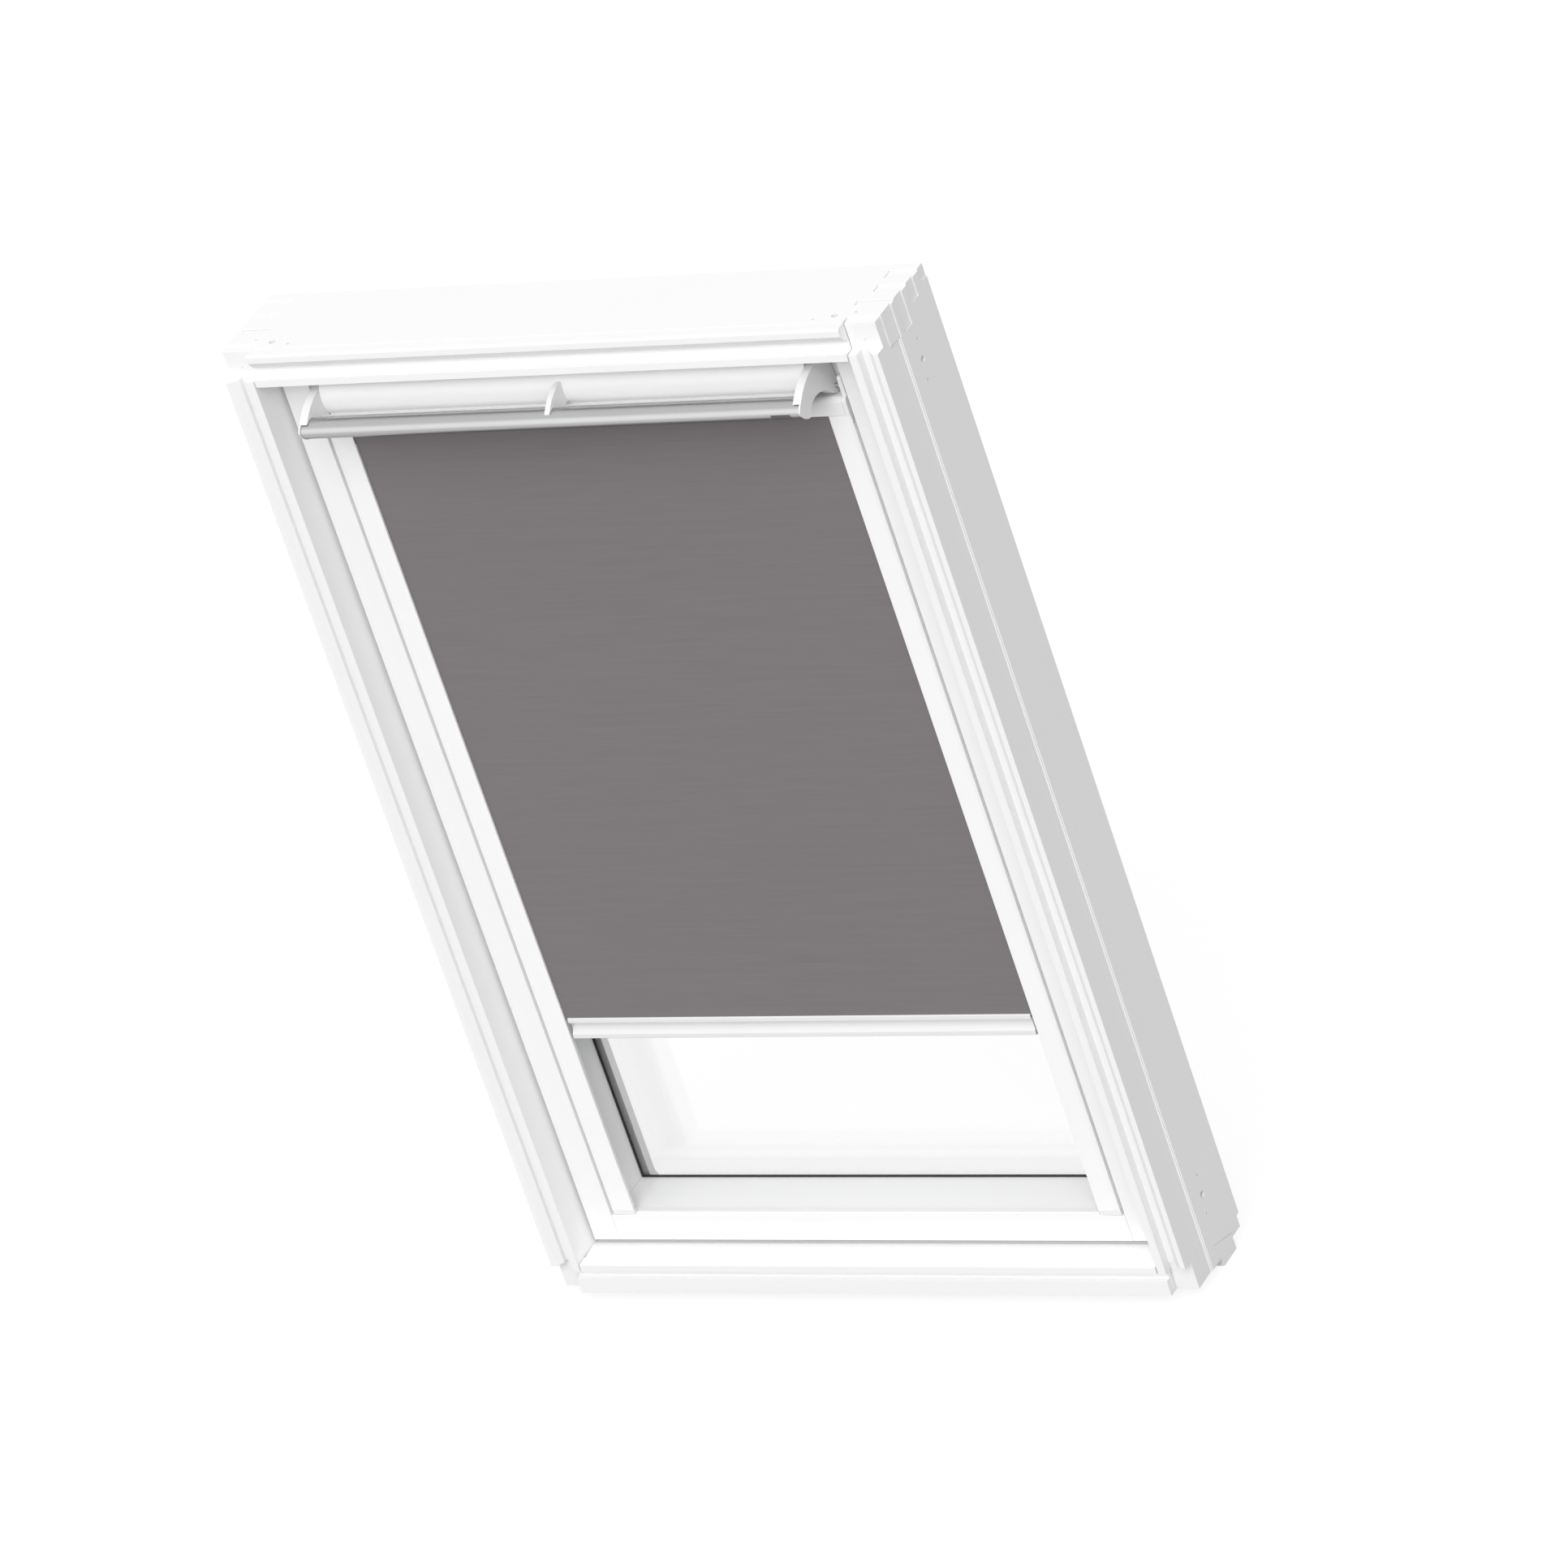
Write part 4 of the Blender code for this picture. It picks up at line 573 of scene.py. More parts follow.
@dataclass(frozen=True)
class ClearGlass:
    """Float glass: a faint tint, near-perfect surface, light passes on to what is behind."""

    name: str = "float_glass"
    colour: Colour = (0.998, 0.999, 0.998)
    passed: Colour = (0.975, 0.982, 0.978)
    bending: float = 1.45
    slot: Slot = Slot.GLASS
    haze: float = 0.012
    haze_scale: float = 18.0
    drift: tuple[float, float] = (2.0, 0.01)

    def build(self) -> bpy.types.Material:
        """Make the material.

        Returns:
            The material, with its nodes.
        """
        material, graph, shader, place = opened(self.name)
        graph.fill(shader, {
            "Base Color": drifted(graph, place, (*self.colour, 1.0), self.drift),
            "Roughness": graph.math("MULTIPLY", graph.noise(place, self.haze_scale, 3.0), self.haze),
            "Transmission Weight": 1.0, "IOR": self.bending})
        clear = graph.add("BsdfTransparent", {"Color": (*self.passed, 1.0)})
        path = graph.add("LightPath")
        passing = graph.math("MAXIMUM", path.outputs["Is Shadow Ray"], path.outputs["Is Diffuse Ray"])
        mixed = graph.add("MixShader", {0: passing, 1: shader.outputs["BSDF"], 2: clear.outputs["BSDF"]})
        graph.fill(graph.tree.nodes["Material Output"], {"Surface": mixed.outputs["Shader"]})
        return material


@dataclass(frozen=True)
class BlackoutCloth:
    """Closely woven polyester with slubs along the weft."""

    name: str
    colour: Colour
    slub: float
    contrast: float
    roughness: float = 0.86
    sheen: float = 0.06
    slot: Slot = Slot.GREY_CLOTH
    pitch: float = 0.00046
    depth: float = 0.00004
    specular: float = 0.25
    spread: float = 0.08
    spread_scale: float = 60.0
    drift: tuple[float, float] = (3.0, 0.03)

    def build(self) -> bpy.types.Material:
        """Make the material.

        Returns:
            The material, with its nodes.
        """
        material, graph, shader, place = opened(self.name)
        weave = placed(graph, EFFECTS.plain_weave(), {
            "Vector": place, "Pitch": self.pitch, "Slub": self.slub, "Contrast": self.contrast,
            "Depth": self.depth, "Color": drifted(graph, place, (*self.colour, 1.0), self.drift)})
        graph.fill(shader, {
            "Base Color": weave["Color"], "Normal": weave["Normal"],
            "Roughness": graph.varied(graph.noise(place, self.spread_scale), self.spread, self.roughness),
            "Sheen Weight": self.sheen, "Specular IOR Level": self.specular})
        return material


class Finish(Enum):
    """Every finish on the window and its blind."""

    UPRIGHT_WOOD = LacqueredWood("lacquered_wood_upright", Run.ALONG_Z)
    LEVEL_WOOD = LacqueredWood("lacquered_wood_level", Run.ALONG_X)
    CASING_PLASTIC = Skin("white_moulding", (0.88, 0.88, 0.88), Slot.WHITE_CASING, 0.42, 0.0007, 0.000012)
    # The casing's white moulding made darker all over for the brackets: painted shade for their shaded
    # sides under the flap and bar
    BRACKET_PLASTIC = Skin("white_moulding_painted_shade", (0.77, 0.77, 0.77), Slot.WHITE_CASING, 0.42, 0.0007,
                           0.000012)
    CHANNEL_COAT = Skin("white_channel_coat", (0.93, 0.93, 0.93), Slot.WHITE_CASING, 0.38, 0.0004,
                        0.000008, coat=0.1)
    FLAP_COAT = Skin("white_flap_coat", (0.88, 0.88, 0.88), Slot.WHITE_ALUMINIUM, 0.36, 0.0004, 0.000008,
                     coat=0.15)
    # Its bands are painted light: painted shade on the underside and the top, a painted highlight along the
    # nose
    BAR_METAL = BrushedMetal(
        "brushed_bar_painted_light", (0.72, 0.72, 0.73), Run.ALONG_X, Slot.BRUSHED_ALUMINIUM, 0.30, contrast=0.10,
        painted_light_bands=((0.0, 0.26), (0.18, 0.30), (0.34, 0.55), (0.56, 0.66), (0.66, 0.98), (0.76, 0.98),
               (0.84, 0.70), (1.0, 0.70)),
        painted_light_reach=(1.0982, 1.1204))
    PULL_METAL = BrushedMetal("pale_anodised", (0.80, 0.80, 0.805), Run.ALONG_X, Slot.BRUSHED_ALUMINIUM,
                              0.42, 0.12, 0.0005, 0.06, 0.6)
    TUBE_METAL = BrushedMetal("mill_tube", (0.62, 0.62, 0.63), Run.ALONG_X, Slot.BRUSHED_ALUMINIUM, 0.4)
    ZINC = BrushedMetal("zinc_plate", (0.58, 0.57, 0.55), Run.ALONG_Z, Slot.ZINC_STEEL, 0.36, 0.02, 0.001,
                        0.12)
    SPACER_METAL = BrushedMetal("spacer_metal", (0.60, 0.59, 0.60), Run.ALONG_Z, Slot.ZINC_STEEL, 0.3,
                                0.15, 0.0012, 0.22)
    SEALANT = Skin("grey_sealant", (0.30, 0.295, 0.30), Slot.ZINC_STEEL, 0.6, 0.0008, 0.00002, 0.2)
    RUBBER = Skin("black_rubber", (0.03, 0.03, 0.031), Slot.BLACK_SEAL, 0.72, 0.0006, 0.00002, 0.25,
                  specular=0.35)
    GREY_RUBBER = Skin("grey_rubber", (0.45, 0.45, 0.45), Slot.BLACK_SEAL, 0.68, 0.0006, 0.00002, 0.06)
    GREY_PLASTIC = Skin("grey_acetal", (0.30, 0.30, 0.31), Slot.GREY_PLASTIC, 0.5, 0.0005, 0.000015, 0.06)
    WHITE_PLASTIC = Skin("white_acetal", (0.84, 0.84, 0.84), Slot.GREY_PLASTIC, 0.45, 0.0005, 0.00001, 0.03)
    DARK_COAT = Skin("grey_cover_coat", (0.16, 0.16, 0.17), Slot.PAINTED_ALUMINIUM, 0.46, 0.0005,
                     0.000015, 0.08, metallic=0.3)
    DARK_PLATE = Skin("dark_plate", (0.10, 0.10, 0.105), Slot.GREY_PLASTIC, 0.45, 0.0004, 0.00001, 0.1)
    GLASS = ClearGlass()
    # Painted reflection: a faintly tinted glass for the band where the frame is reflected in the panes
    GLASS_MARGIN = ClearGlass("glass_painted_reflection", (0.985, 0.986, 0.985), (0.98, 0.98, 0.98), 1.1)
    CLOTH = BlackoutCloth("blackout_cloth_face", (0.197, 0.181, 0.186), 0.24, 0.10)
    CLOTH_BACK = BlackoutCloth("blackout_cloth_coating", (0.46, 0.46, 0.465), 0.10, 0.05, 0.55, 0.0)

    @property
    def material(self) -> bpy.types.Material:
        """The finish's material, made on first use."""
        made = bpy.data.materials.get(self.value.name)
        return made if made is not None else self.value.build()


class Ease(Enum):
    """How far from a sharp edge its rounding starts, in metres."""

    NONE = 0.0
    CRISP = 0.0002
    SLIGHT = 0.0003
    SOFT = 0.0004
    FULL = 0.0005
    BROAD = 0.0006
    BUTTON = 0.0012


@dataclass(frozen=True)
class Shift:
    """A move of the vertices in one region, the same on the left and on the right."""

    by: Vector
    half: tuple[float, float] = (-FAR, FAR)
    depth: tuple[float, float] = (-FAR, FAR)
    height: tuple[float, float] = (-FAR, FAR)

    def apply(self, bm: Mesh) -> None:
        """Move the region's vertices; the move's X is away from the middle.

        Args:
            bm: The mesh.
        """
        for side, _ in SIDES:
            verts = [vert for vert in bm.verts
                     if vert.co.x * side > 0 and self.half[0] < vert.co.x * side < self.half[1]
                     and self.depth[0] < vert.co.y - ROOM_FACE_Y < self.depth[1]
                     and self.height[0] < vert.co.z < self.height[1]]
            bmesh.ops.translate(bm, verts=verts, vec=(side * self.by.x, self.by.y, self.by.z))


@dataclass(frozen=True)
class Dressing:
    """How a CAD node's edges are eased, and what shapes and moves its mesh first."""

    ease: Ease
    steps: int = 2
    crease: float = PLAIN_CREASE
    shifts: tuple[Shift, ...] = ()
    shape: Optional[Callable[[str], Mesh]] = None
    room_share: float = 3.0

    def ease_edges(self, bm: Mesh) -> None:
        """Round the sharp edges between faces that are wide enough to take it.

        Args:
            bm: The mesh.
        """
        room = self.room_share * self.ease.value
        narrow = {face for face in bm.faces if face_width(face) < room}
        sharp = [edge for edge in bm.edges
                 if len(edge.link_faces) == 2 and edge.calc_length() > room
                 and edge.calc_face_angle(0.0) > radians(self.crease)
                 and not narrow.intersection(edge.link_faces)]
        if sharp:
            round_off(bm, sharp, self.ease.value, self.steps)


def face_width(face: bmesh.types.BMFace) -> float:
    """How wide a face is across its longest edge: its area over that edge."""
    longest = max(edge.calc_length() for edge in face.edges)
    return face.calc_area() / longest if longest > 0 else 0.0


class Workshop:
    """Turns CAD nodes and fresh meshes into finished pieces that ride on the frame's bodies."""

    def __init__(self, frame: dict) -> None:
        """Keep the nodes of the loaded frame."""
        self.nodes = frame["nodes"]

    def merged(self, node: str) -> Mesh:
        """A mesh of a CAD node's shape, with its triangles joined into flat faces.

        Args:
            node: The node's name.

        Returns:
            The mesh.
        """
        bm = bmesh.new()
        bm.from_mesh(self.nodes[node].data)
        bmesh.ops.remove_doubles(bm, verts=bm.verts, dist=MERGE_DISTANCE)
        bmesh.ops.dissolve_degenerate(bm, edges=bm.edges, dist=MERGE_DISTANCE)
        bmesh.ops.dissolve_limit(bm, verts=bm.verts, edges=bm.edges, angle_limit=FLAT_ANGLE)
        return bm

    def finish_piece(self, name: str, bm: Mesh, finish: Finish, body: str,
                     *replaced: str) -> bpy.types.Object:
        """Make a mesh a finished piece of the object.

        Args:
            name: The piece's name.
            bm: Its mesh, in place; it is freed.
            finish: Its finish.
            body: The CAD body it rides on.
            *replaced: CAD nodes it stands for.

        Returns:
            The piece.
        """
        mesh = kept(name, bm)
        mesh.shade_smooth()
        mesh.set_sharp_from_angle(angle=CREASE_ANGLE)
        mesh.materials.append(finish.material)
        piece = put(name, mesh)
        weighted = piece.modifiers.new("weighted_normals", "WEIGHTED_NORMAL")
        weighted.keep_sharp = True
        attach(piece, body)
        if replaced:
            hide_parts(*replaced)
        LOG.info("%s, on %s", name, body)
        return piece

    def dress(self, finish: Finish, ease: Ease, *nodes: str, **rest) -> None:
        """Replace CAD nodes by copies with eased edges and a finish.

        Args:
            finish: Their finish.
            ease: How far their edges are eased.
            *nodes: The nodes.
            **rest: Other fields of their Dressing.
        """
        dressing = Dressing(ease, **rest)
        for node in nodes:
            bm = (dressing.shape or self.merged)(node)
            for shift in dressing.shifts:
                shift.apply(bm)
            if ease is not Ease.NONE:
                dressing.ease_edges(bm)
            loose = sum(1 for edge in bm.edges if len(edge.link_faces) != 2)
            if loose:
                LOG.warning("%s has %d open edges", node, loose)
            self.finish_piece(node + "_finished", bm, finish, self.nodes[node]["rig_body"], node)


def coat_sides(piece: bpy.types.Object, finish: Finish, both: bool) -> None:
    """Give a second finish to the weather side of a piece.

    Args:
        piece: The piece.
        finish: The second finish.
        both: Whether the room side has it too.
    """
    piece.data.materials.append(finish.material)
    for polygon in piece.data.polygons:
        lean = abs(polygon.normal.y) if both else polygon.normal.y
        if lean > FACING:
            polygon.material_index = 1


@dataclass(frozen=True)
class Screw:
    """A cross-recessed screw head."""

    radius: float = 0.0035
    height: float = 0.0013
    slot_width: float = 0.0007
    slot_reach: float = 0.0019
    slot_depth: float = 0.0009
    sides: int = 20
    rounding: float = 0.7
    round_steps: int = 3
    top_share: float = 0.999

    def head(self, turn: float) -> Mesh:
        """The head at the origin, standing up along Z.

        Args:
            turn: Angle of the cross in radians.

        Returns:
            A closed mesh.
        """
        bm = bmesh.new()
        bmesh.ops.create_cone(bm, cap_ends=True, segments=self.sides, radius1=self.radius,
                              radius2=self.radius, depth=self.height)
        bmesh.ops.translate(bm, verts=bm.verts, vec=(0, 0, self.height / 2))
        near_top = self.height * self.top_share
        rim = [edge for edge in bm.edges if all(vert.co.z > near_top for vert in edge.verts)]
        round_off(bm, rim, self.height * self.rounding, self.round_steps)
        half = self.slot_width / 2
        for normal in (ACROSS, OUTWARD):
            for distance in (-self.slot_reach, -half, half, self.slot_reach):
                top = [face for face in bm.faces if face.calc_center_median().z > near_top]
                edges = {edge for face in top for edge in face.edges}
                verts = {vert for face in top for vert in face.verts}
                bmesh.ops.bisect_plane(bm, geom=top + list(edges) + list(verts), dist=CUT_REACH,
                                       plane_co=normal * distance, plane_no=normal)
        cross = []
        for face in bm.faces:
            centre = face.calc_center_median()
            x, y = sorted((abs(centre.x), abs(centre.y)))
            if centre.z >= near_top and x < half and y < self.slot_reach:
                cross.append(face)
        sunk = bmesh.ops.extrude_face_region(bm, geom=cross)["geom"]
        bmesh.ops.delete(bm, geom=[face for face in cross if face.is_valid], context="FACES_ONLY")
        verts = [item for item in sunk if isinstance(item, bmesh.types.BMVert)]
        bmesh.ops.translate(bm, verts=verts, vec=(0, 0, -self.slot_depth))
        bmesh.ops.recalc_face_normals(bm, faces=bm.faces)
        bmesh.ops.rotate(bm, verts=bm.verts, cent=(0, 0, 0), matrix=Matrix.Rotation(turn, 3, "Z"))
        return bm


PLATE_SCREW = Screw(0.0034, 0.0008, 0.0006, 0.0017, 0.0005)
KEEPER_SCREW = Screw(0.0028, 0.0008, 0.0006, 0.0015, 0.0005)
COVER_SCREW = Screw(0.0032, 0.0003, 0.0006, 0.0016, 0.0002)


@dataclass(frozen=True)
class ScrewRow:
    """Screw heads in a row about a centre, as one piece."""

    name: str
    centre: Vector
    pitch: Vector
    facing: tuple[int, int, int]
    screw: Screw = Screw()
    steps: Sequence[float] = (-1, 1)
    first_turn: float = 0.3
    turn: float = 0.7

    def build(self, workshop: Workshop, body: str) -> None:
        """Make the piece.

        Args:
            workshop: Makes it.
            body: The CAD body it rides on.
        """
        whole = bmesh.new()
        upright = UP.rotation_difference(Vector(self.facing)).to_matrix().to_4x4()
        for number, step in enumerate(self.steps):
            head = self.screw.head(self.first_turn + self.turn * number)
            place = Matrix.Translation(self.centre + self.pitch * step)
            bmesh.ops.transform(head, verts=head.verts, matrix=place @ upright)
            mesh = kept(self.name + "_part", head)
            whole.from_mesh(mesh)
            bpy.data.meshes.remove(mesh)
        workshop.finish_piece(self.name, whole, Finish.ZINC, body)


@dataclass
class OuterFrame:
    """The four members that are fixed in the roof, with seals, sockets and keeper."""

    workshop: Workshop
    outer_half: float = 0.390
    front_inset: float = 0.0021
    step_start: float = 0.0445
    thin_inset: float = 0.0003
    thin_end: float = 0.0480
    end_inset: float = 0.0012
    jamb_half: float = 0.335
    notch_backs: Section = ((0.0556, 0.0011), (0.0862, 0.0004), (0.114, 0.0004))
    near: float = 0.0002
    socket_face: float = 0.3493
    pivot_y: float = 0.0217
    pivot_z: float = 0.5994
    screw_pitch: float = 0.044
    keeper_half: float = 0.022

    def build(self) -> None:
        """Dress the members and what is fixed to them."""
        face = (self.outer_half - self.near, FAR)
        stepped = (Shift(-ACROSS * self.front_inset, face, (-FAR, self.step_start)),
                   Shift(-ACROSS * self.thin_inset, face, (self.step_start, self.thin_end)))
        shorter = [Shift(-ACROSS * self.end_inset, face)]
        for back, play in self.notch_backs:
            shorter.append(Shift(OUTWARD * play, (self.jamb_half, FAR),
                                 (back - self.near, back + self.near)))
        dress = self.workshop.dress
        dress(Finish.LEVEL_WOOD, Ease.CRISP, "frame_head", shifts=tuple(shorter))
        dress(Finish.LEVEL_WOOD, Ease.CRISP, "frame_sill", shifts=stepped)
        for _, side in SIDES:
            dress(Finish.UPRIGHT_WOOD, Ease.CRISP, "frame_side_" + side, shifts=stepped)
            dress(Finish.RUBBER, Ease.SLIGHT, "seal_" + side)
            dress(Finish.ZINC, Ease.FULL, "frame_pivot_" + side)
        dress(Finish.RUBBER, Ease.SLIGHT, "seal_head")
        dress(Finish.GREY_RUBBER, Ease.SLIGHT, "seal_sill")
        dress(Finish.ZINC, Ease.SLIGHT, "latch_keeper")
        self.add_screws()

    def add_screws(self) -> None:
        """Screws that hold the sockets and the keeper."""
        for side, name in SIDES:
            ScrewRow("socket_screws_" + name, Vector((side * self.socket_face, self.pivot_y, self.pivot_z)),
                     UP * self.screw_pitch, (-side, 0, 0)).build(self.workshop, "frame")
        under = Vector((0, middle_of("latch_keeper").y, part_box("latch_keeper")[0].z))
        ScrewRow("keeper_screws", under, ACROSS * self.keeper_half, (0, 0, -1),
                 KEEPER_SCREW).build(self.workshop, "frame")


@dataclass(frozen=True)
class Opening:
    """A level rectangle that is the same to the left and to the right."""

    half: float
    foot: float
    top: float

    def corners(self) -> list[tuple[float, float]]:
        """Its corners as X and Z, in order."""
        return [(-self.half, self.foot), (self.half, self.foot), (self.half, self.top),
                (-self.half, self.top)]

    def inset(self, side: float, foot: float) -> "Opening":
        """An opening this much smaller at the sides and the top, and at the foot."""
        return Opening(self.half - side, self.foot + foot, self.top - side)


@dataclass
class Sash:
    """The turning sash: stiles, rails, glazing, covers, pivot plates and lock case."""

    workshop: Workshop
    stile_cut: float = z_at(0.080)
    sight: Opening = Opening(0.306, 0.093, z_at(0.0987))
    rebate_floor: float = 0.078
    rebate_near: float = 0.0005
    rebate_drop: float = 0.005
    cover_drop: float = 0.013
    cover_edge: float = 0.003
    pane_gap: float = 0.0003
    spacer_inset: float = 0.0075
    spacer_foot: float = 0.0098
    spacer_round: float = 0.011
    margin_side: float = 0.044
    margin_foot: float = 0.052
    margin_round: float = 0.007
    margin_set: float = 0.0003
    margin_thickness: float = 0.0001
    round_steps: int = 6
    plate_screw_pitch: float = 0.054
    cover_screw_pitch: float = 0.2
    case_screw_half: float = 0.03

    def build(self) -> None:
        """Dress the sash's pieces."""
        dress = self.workshop.dress
        for _, side in SIDES:
            dress(Finish.UPRIGHT_WOOD, Ease.SLIGHT, "stile_" + side, shape=self.full_stile)
            dress(Finish.ZINC, Ease.SOFT, "sash_pivot_" + side)
            dress(Finish.GREY_PLASTIC, Ease.CRISP, "pivot_bush_" + side)
            dress(Finish.DARK_COAT, Ease.SOFT, "cover_" + side)
        deeper = -UP * self.rebate_drop
        floor = Shift(deeper, height=(self.rebate_floor - self.rebate_near,
                                      self.rebate_floor + self.rebate_near))
        foot = Shift(deeper, height=(-FAR, self.sight.foot))
        edge = Shift(-UP * self.cover_drop, height=(self.sight.foot - self.cover_edge, FAR))
        dress(Finish.LEVEL_WOOD, Ease.SLIGHT, "top_rail")
        dress(Finish.LEVEL_WOOD, Ease.SLIGHT, "bottom_rail", shifts=(floor,))
        dress(Finish.GLASS, Ease.BROAD, "inner_pane", "outer_pane", steps=1, shifts=(foot,))
        dress(Finish.DARK_COAT, Ease.SOFT, "cover_top")
        dress(Finish.DARK_COAT, Ease.SOFT, "cover_bottom", shifts=(edge,))
        self.add_spacer()
        # Painted reflection band on the outer pane
        self.add_painted_reflection()
        dress(Finish.RUBBER, Ease.CRISP, "glazing_gasket")
        dress(Finish.ZINC, Ease.BROAD, "lock_case")
        dress(Finish.ZINC, Ease.SOFT, "latch_bolt")
        self.add_screws()

    def ring(self, outer: Opening, inner: Opening, reach: tuple[float, float], rounding: float) -> Mesh:
        """A flat frame with round inner corners.

        Args:
            outer: Its outline.
            inner: Its opening.
            reach: Y of its room side and of its weather side.
            rounding: Radius of the opening's corners.

        Returns:
            Its mesh.
        """
        bm = bmesh.new()
        front, back = reach
        loops = []
        for edge in (outer, inner):
            verts = [bm.verts.new((x, front, z)) for x, z in edge.corners()]
            loops += [bm.edges.new((verts[i - 1], verts[i])) for i in range(4)]
        bmesh.ops.bridge_loops(bm, edges=loops)
        thicken(bm, OUTWARD * (back - front))
        corners = [edge for edge in bm.edges
                   if abs(edge.verts[0].co.y - edge.verts[1].co.y) > (back - front) / 2
                   and abs(edge.verts[0].co.x) < (outer.half + inner.half) / 2]
        round_off(bm, corners, rounding, self.round_steps)
        return bm

    def full_stile(self, node: str) -> Mesh:
        """A stile whose profile runs on past the casing to its top.

        Args:
            node: The stile's node.

        Returns:
            Its mesh.
        """
        bm = self.workshop.merged(node)
        cut_off(bm, UP * self.stile_cut, UP)
        rim = [edge for edge in bm.edges if edge.is_boundary]
        bmesh.ops.edgeloop_fill(bm, edges=rim)
        raised = {vert for edge in rim for vert in edge.verts}
        bmesh.ops.translate(bm, verts=list(raised), vec=(0, 0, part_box(node)[1].z - self.stile_cut))
        bmesh.ops.recalc_face_normals(bm, faces=bm.faces)
        return bm

    def spacer_opening(self) -> Opening:
        """The opening that the spacer leaves, a little wider than the sash's sight edge at the foot."""
        return self.sight.inset(self.spacer_inset, -self.spacer_foot)

    def add_spacer(self) -> None:
        """The spacer, metal towards the cavity and sealant on its flat sides, round in its corners."""
        low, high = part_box("inner_pane")
        pane = Opening(high.x, low.z - self.rebate_drop, high.z)
        front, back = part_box("glass_spacer")
        bm = self.ring(pane.inset(self.pane_gap, self.pane_gap), self.spacer_opening(),
                       (front.y, back.y), self.spacer_round)
        piece = self.workshop.finish_piece("glass_spacer_finished", bm, Finish.SPACER_METAL, "sash",
                                           "glass_spacer")
        coat_sides(piece, Finish.SEALANT, both=True)

    def add_painted_reflection(self) -> None:
        """A painted reflection: a faintly tinted band on the cavity side of the outer pane, in place of the
        frame's reflection in the glass.
        """
        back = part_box("outer_pane")[0].y - self.margin_set
        outer = self.spacer_opening().inset(self.margin_set, self.margin_set)
        bm = self.ring(outer, outer.inset(self.margin_side, self.margin_foot),
                       (back - self.margin_thickness, back), self.margin_round)
        self.workshop.finish_piece("pane_painted_reflection", bm, Finish.GLASS_MARGIN, "sash")

    def add_screws(self) -> None:
        """Screws in the pivot plates, the lock case and the covers."""
        for side, name in SIDES:
            plate = middle_of("sash_pivot_" + name)
            plate.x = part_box("sash_pivot_" + name)[side > 0].x
            ScrewRow("plate_screws_" + name, plate, UP * self.plate_screw_pitch, (side, 0, 0),
                     PLATE_SCREW).build(self.workshop, "sash")
            self.screw_cover(name, UP, (-2.5, -1.5, -0.5, 0.5, 1.5, 2.5))
        for name in ("top", "bottom"):
            self.screw_cover(name, ACROSS, (-1, 0, 1))
        case = Vector((0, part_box("lock_case")[0].y, middle_of("lock_case").z))
        ScrewRow("case_screws", case, ACROSS * self.case_screw_half,
                 (0, -1, 0)).build(self.workshop, "sash")

    def screw_cover(self, name: str, way: Vector, steps: Sequence[float]) -> None:
        """Screws along a glazing cover.

        Args:
            name: Which cover.
            way: The way it runs.
            steps: Their places, in pitches from the middle.
        """
        place = middle_of("cover_" + name)
        place.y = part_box("cover_" + name)[1].y
        ScrewRow("cover_screws_" + name, place, way * self.cover_screw_pitch, (0, 1, 0), COVER_SCREW,
                 steps).build(self.workshop, "sash")


def oval_arc(bm: Mesh, centre: Vector, radii: tuple[float, float], start: float, end: float,
             steps: int = 24) -> list[bmesh.types.BMVert]:
    """An arc of an upright oval, made by turning one vertex; 0 is its room side and a right angle its top.

    Args:
        bm: The mesh that takes it.
        centre: The oval's centre.
        radii: Its half depth and half height.
        start: Angle of the first vertex.
        end: Angle of the last one.
        steps: Stretches along the arc.

    Returns:
        Its vertices, in order.
    """
    first = bm.verts.new((0, -cos(start), sin(start)))
    before = len(bm.verts)
    bmesh.ops.spin(bm, geom=[first], cent=(0, 0, 0), axis=(1, 0, 0), angle=start - end, steps=steps)
    bm.verts.ensure_lookup_table()
    arc = [first] + bm.verts[before:]
    bmesh.ops.scale(bm, verts=arc, vec=(1, radii[0], radii[1]))
    bmesh.ops.translate(bm, verts=arc, vec=centre)
    return arc


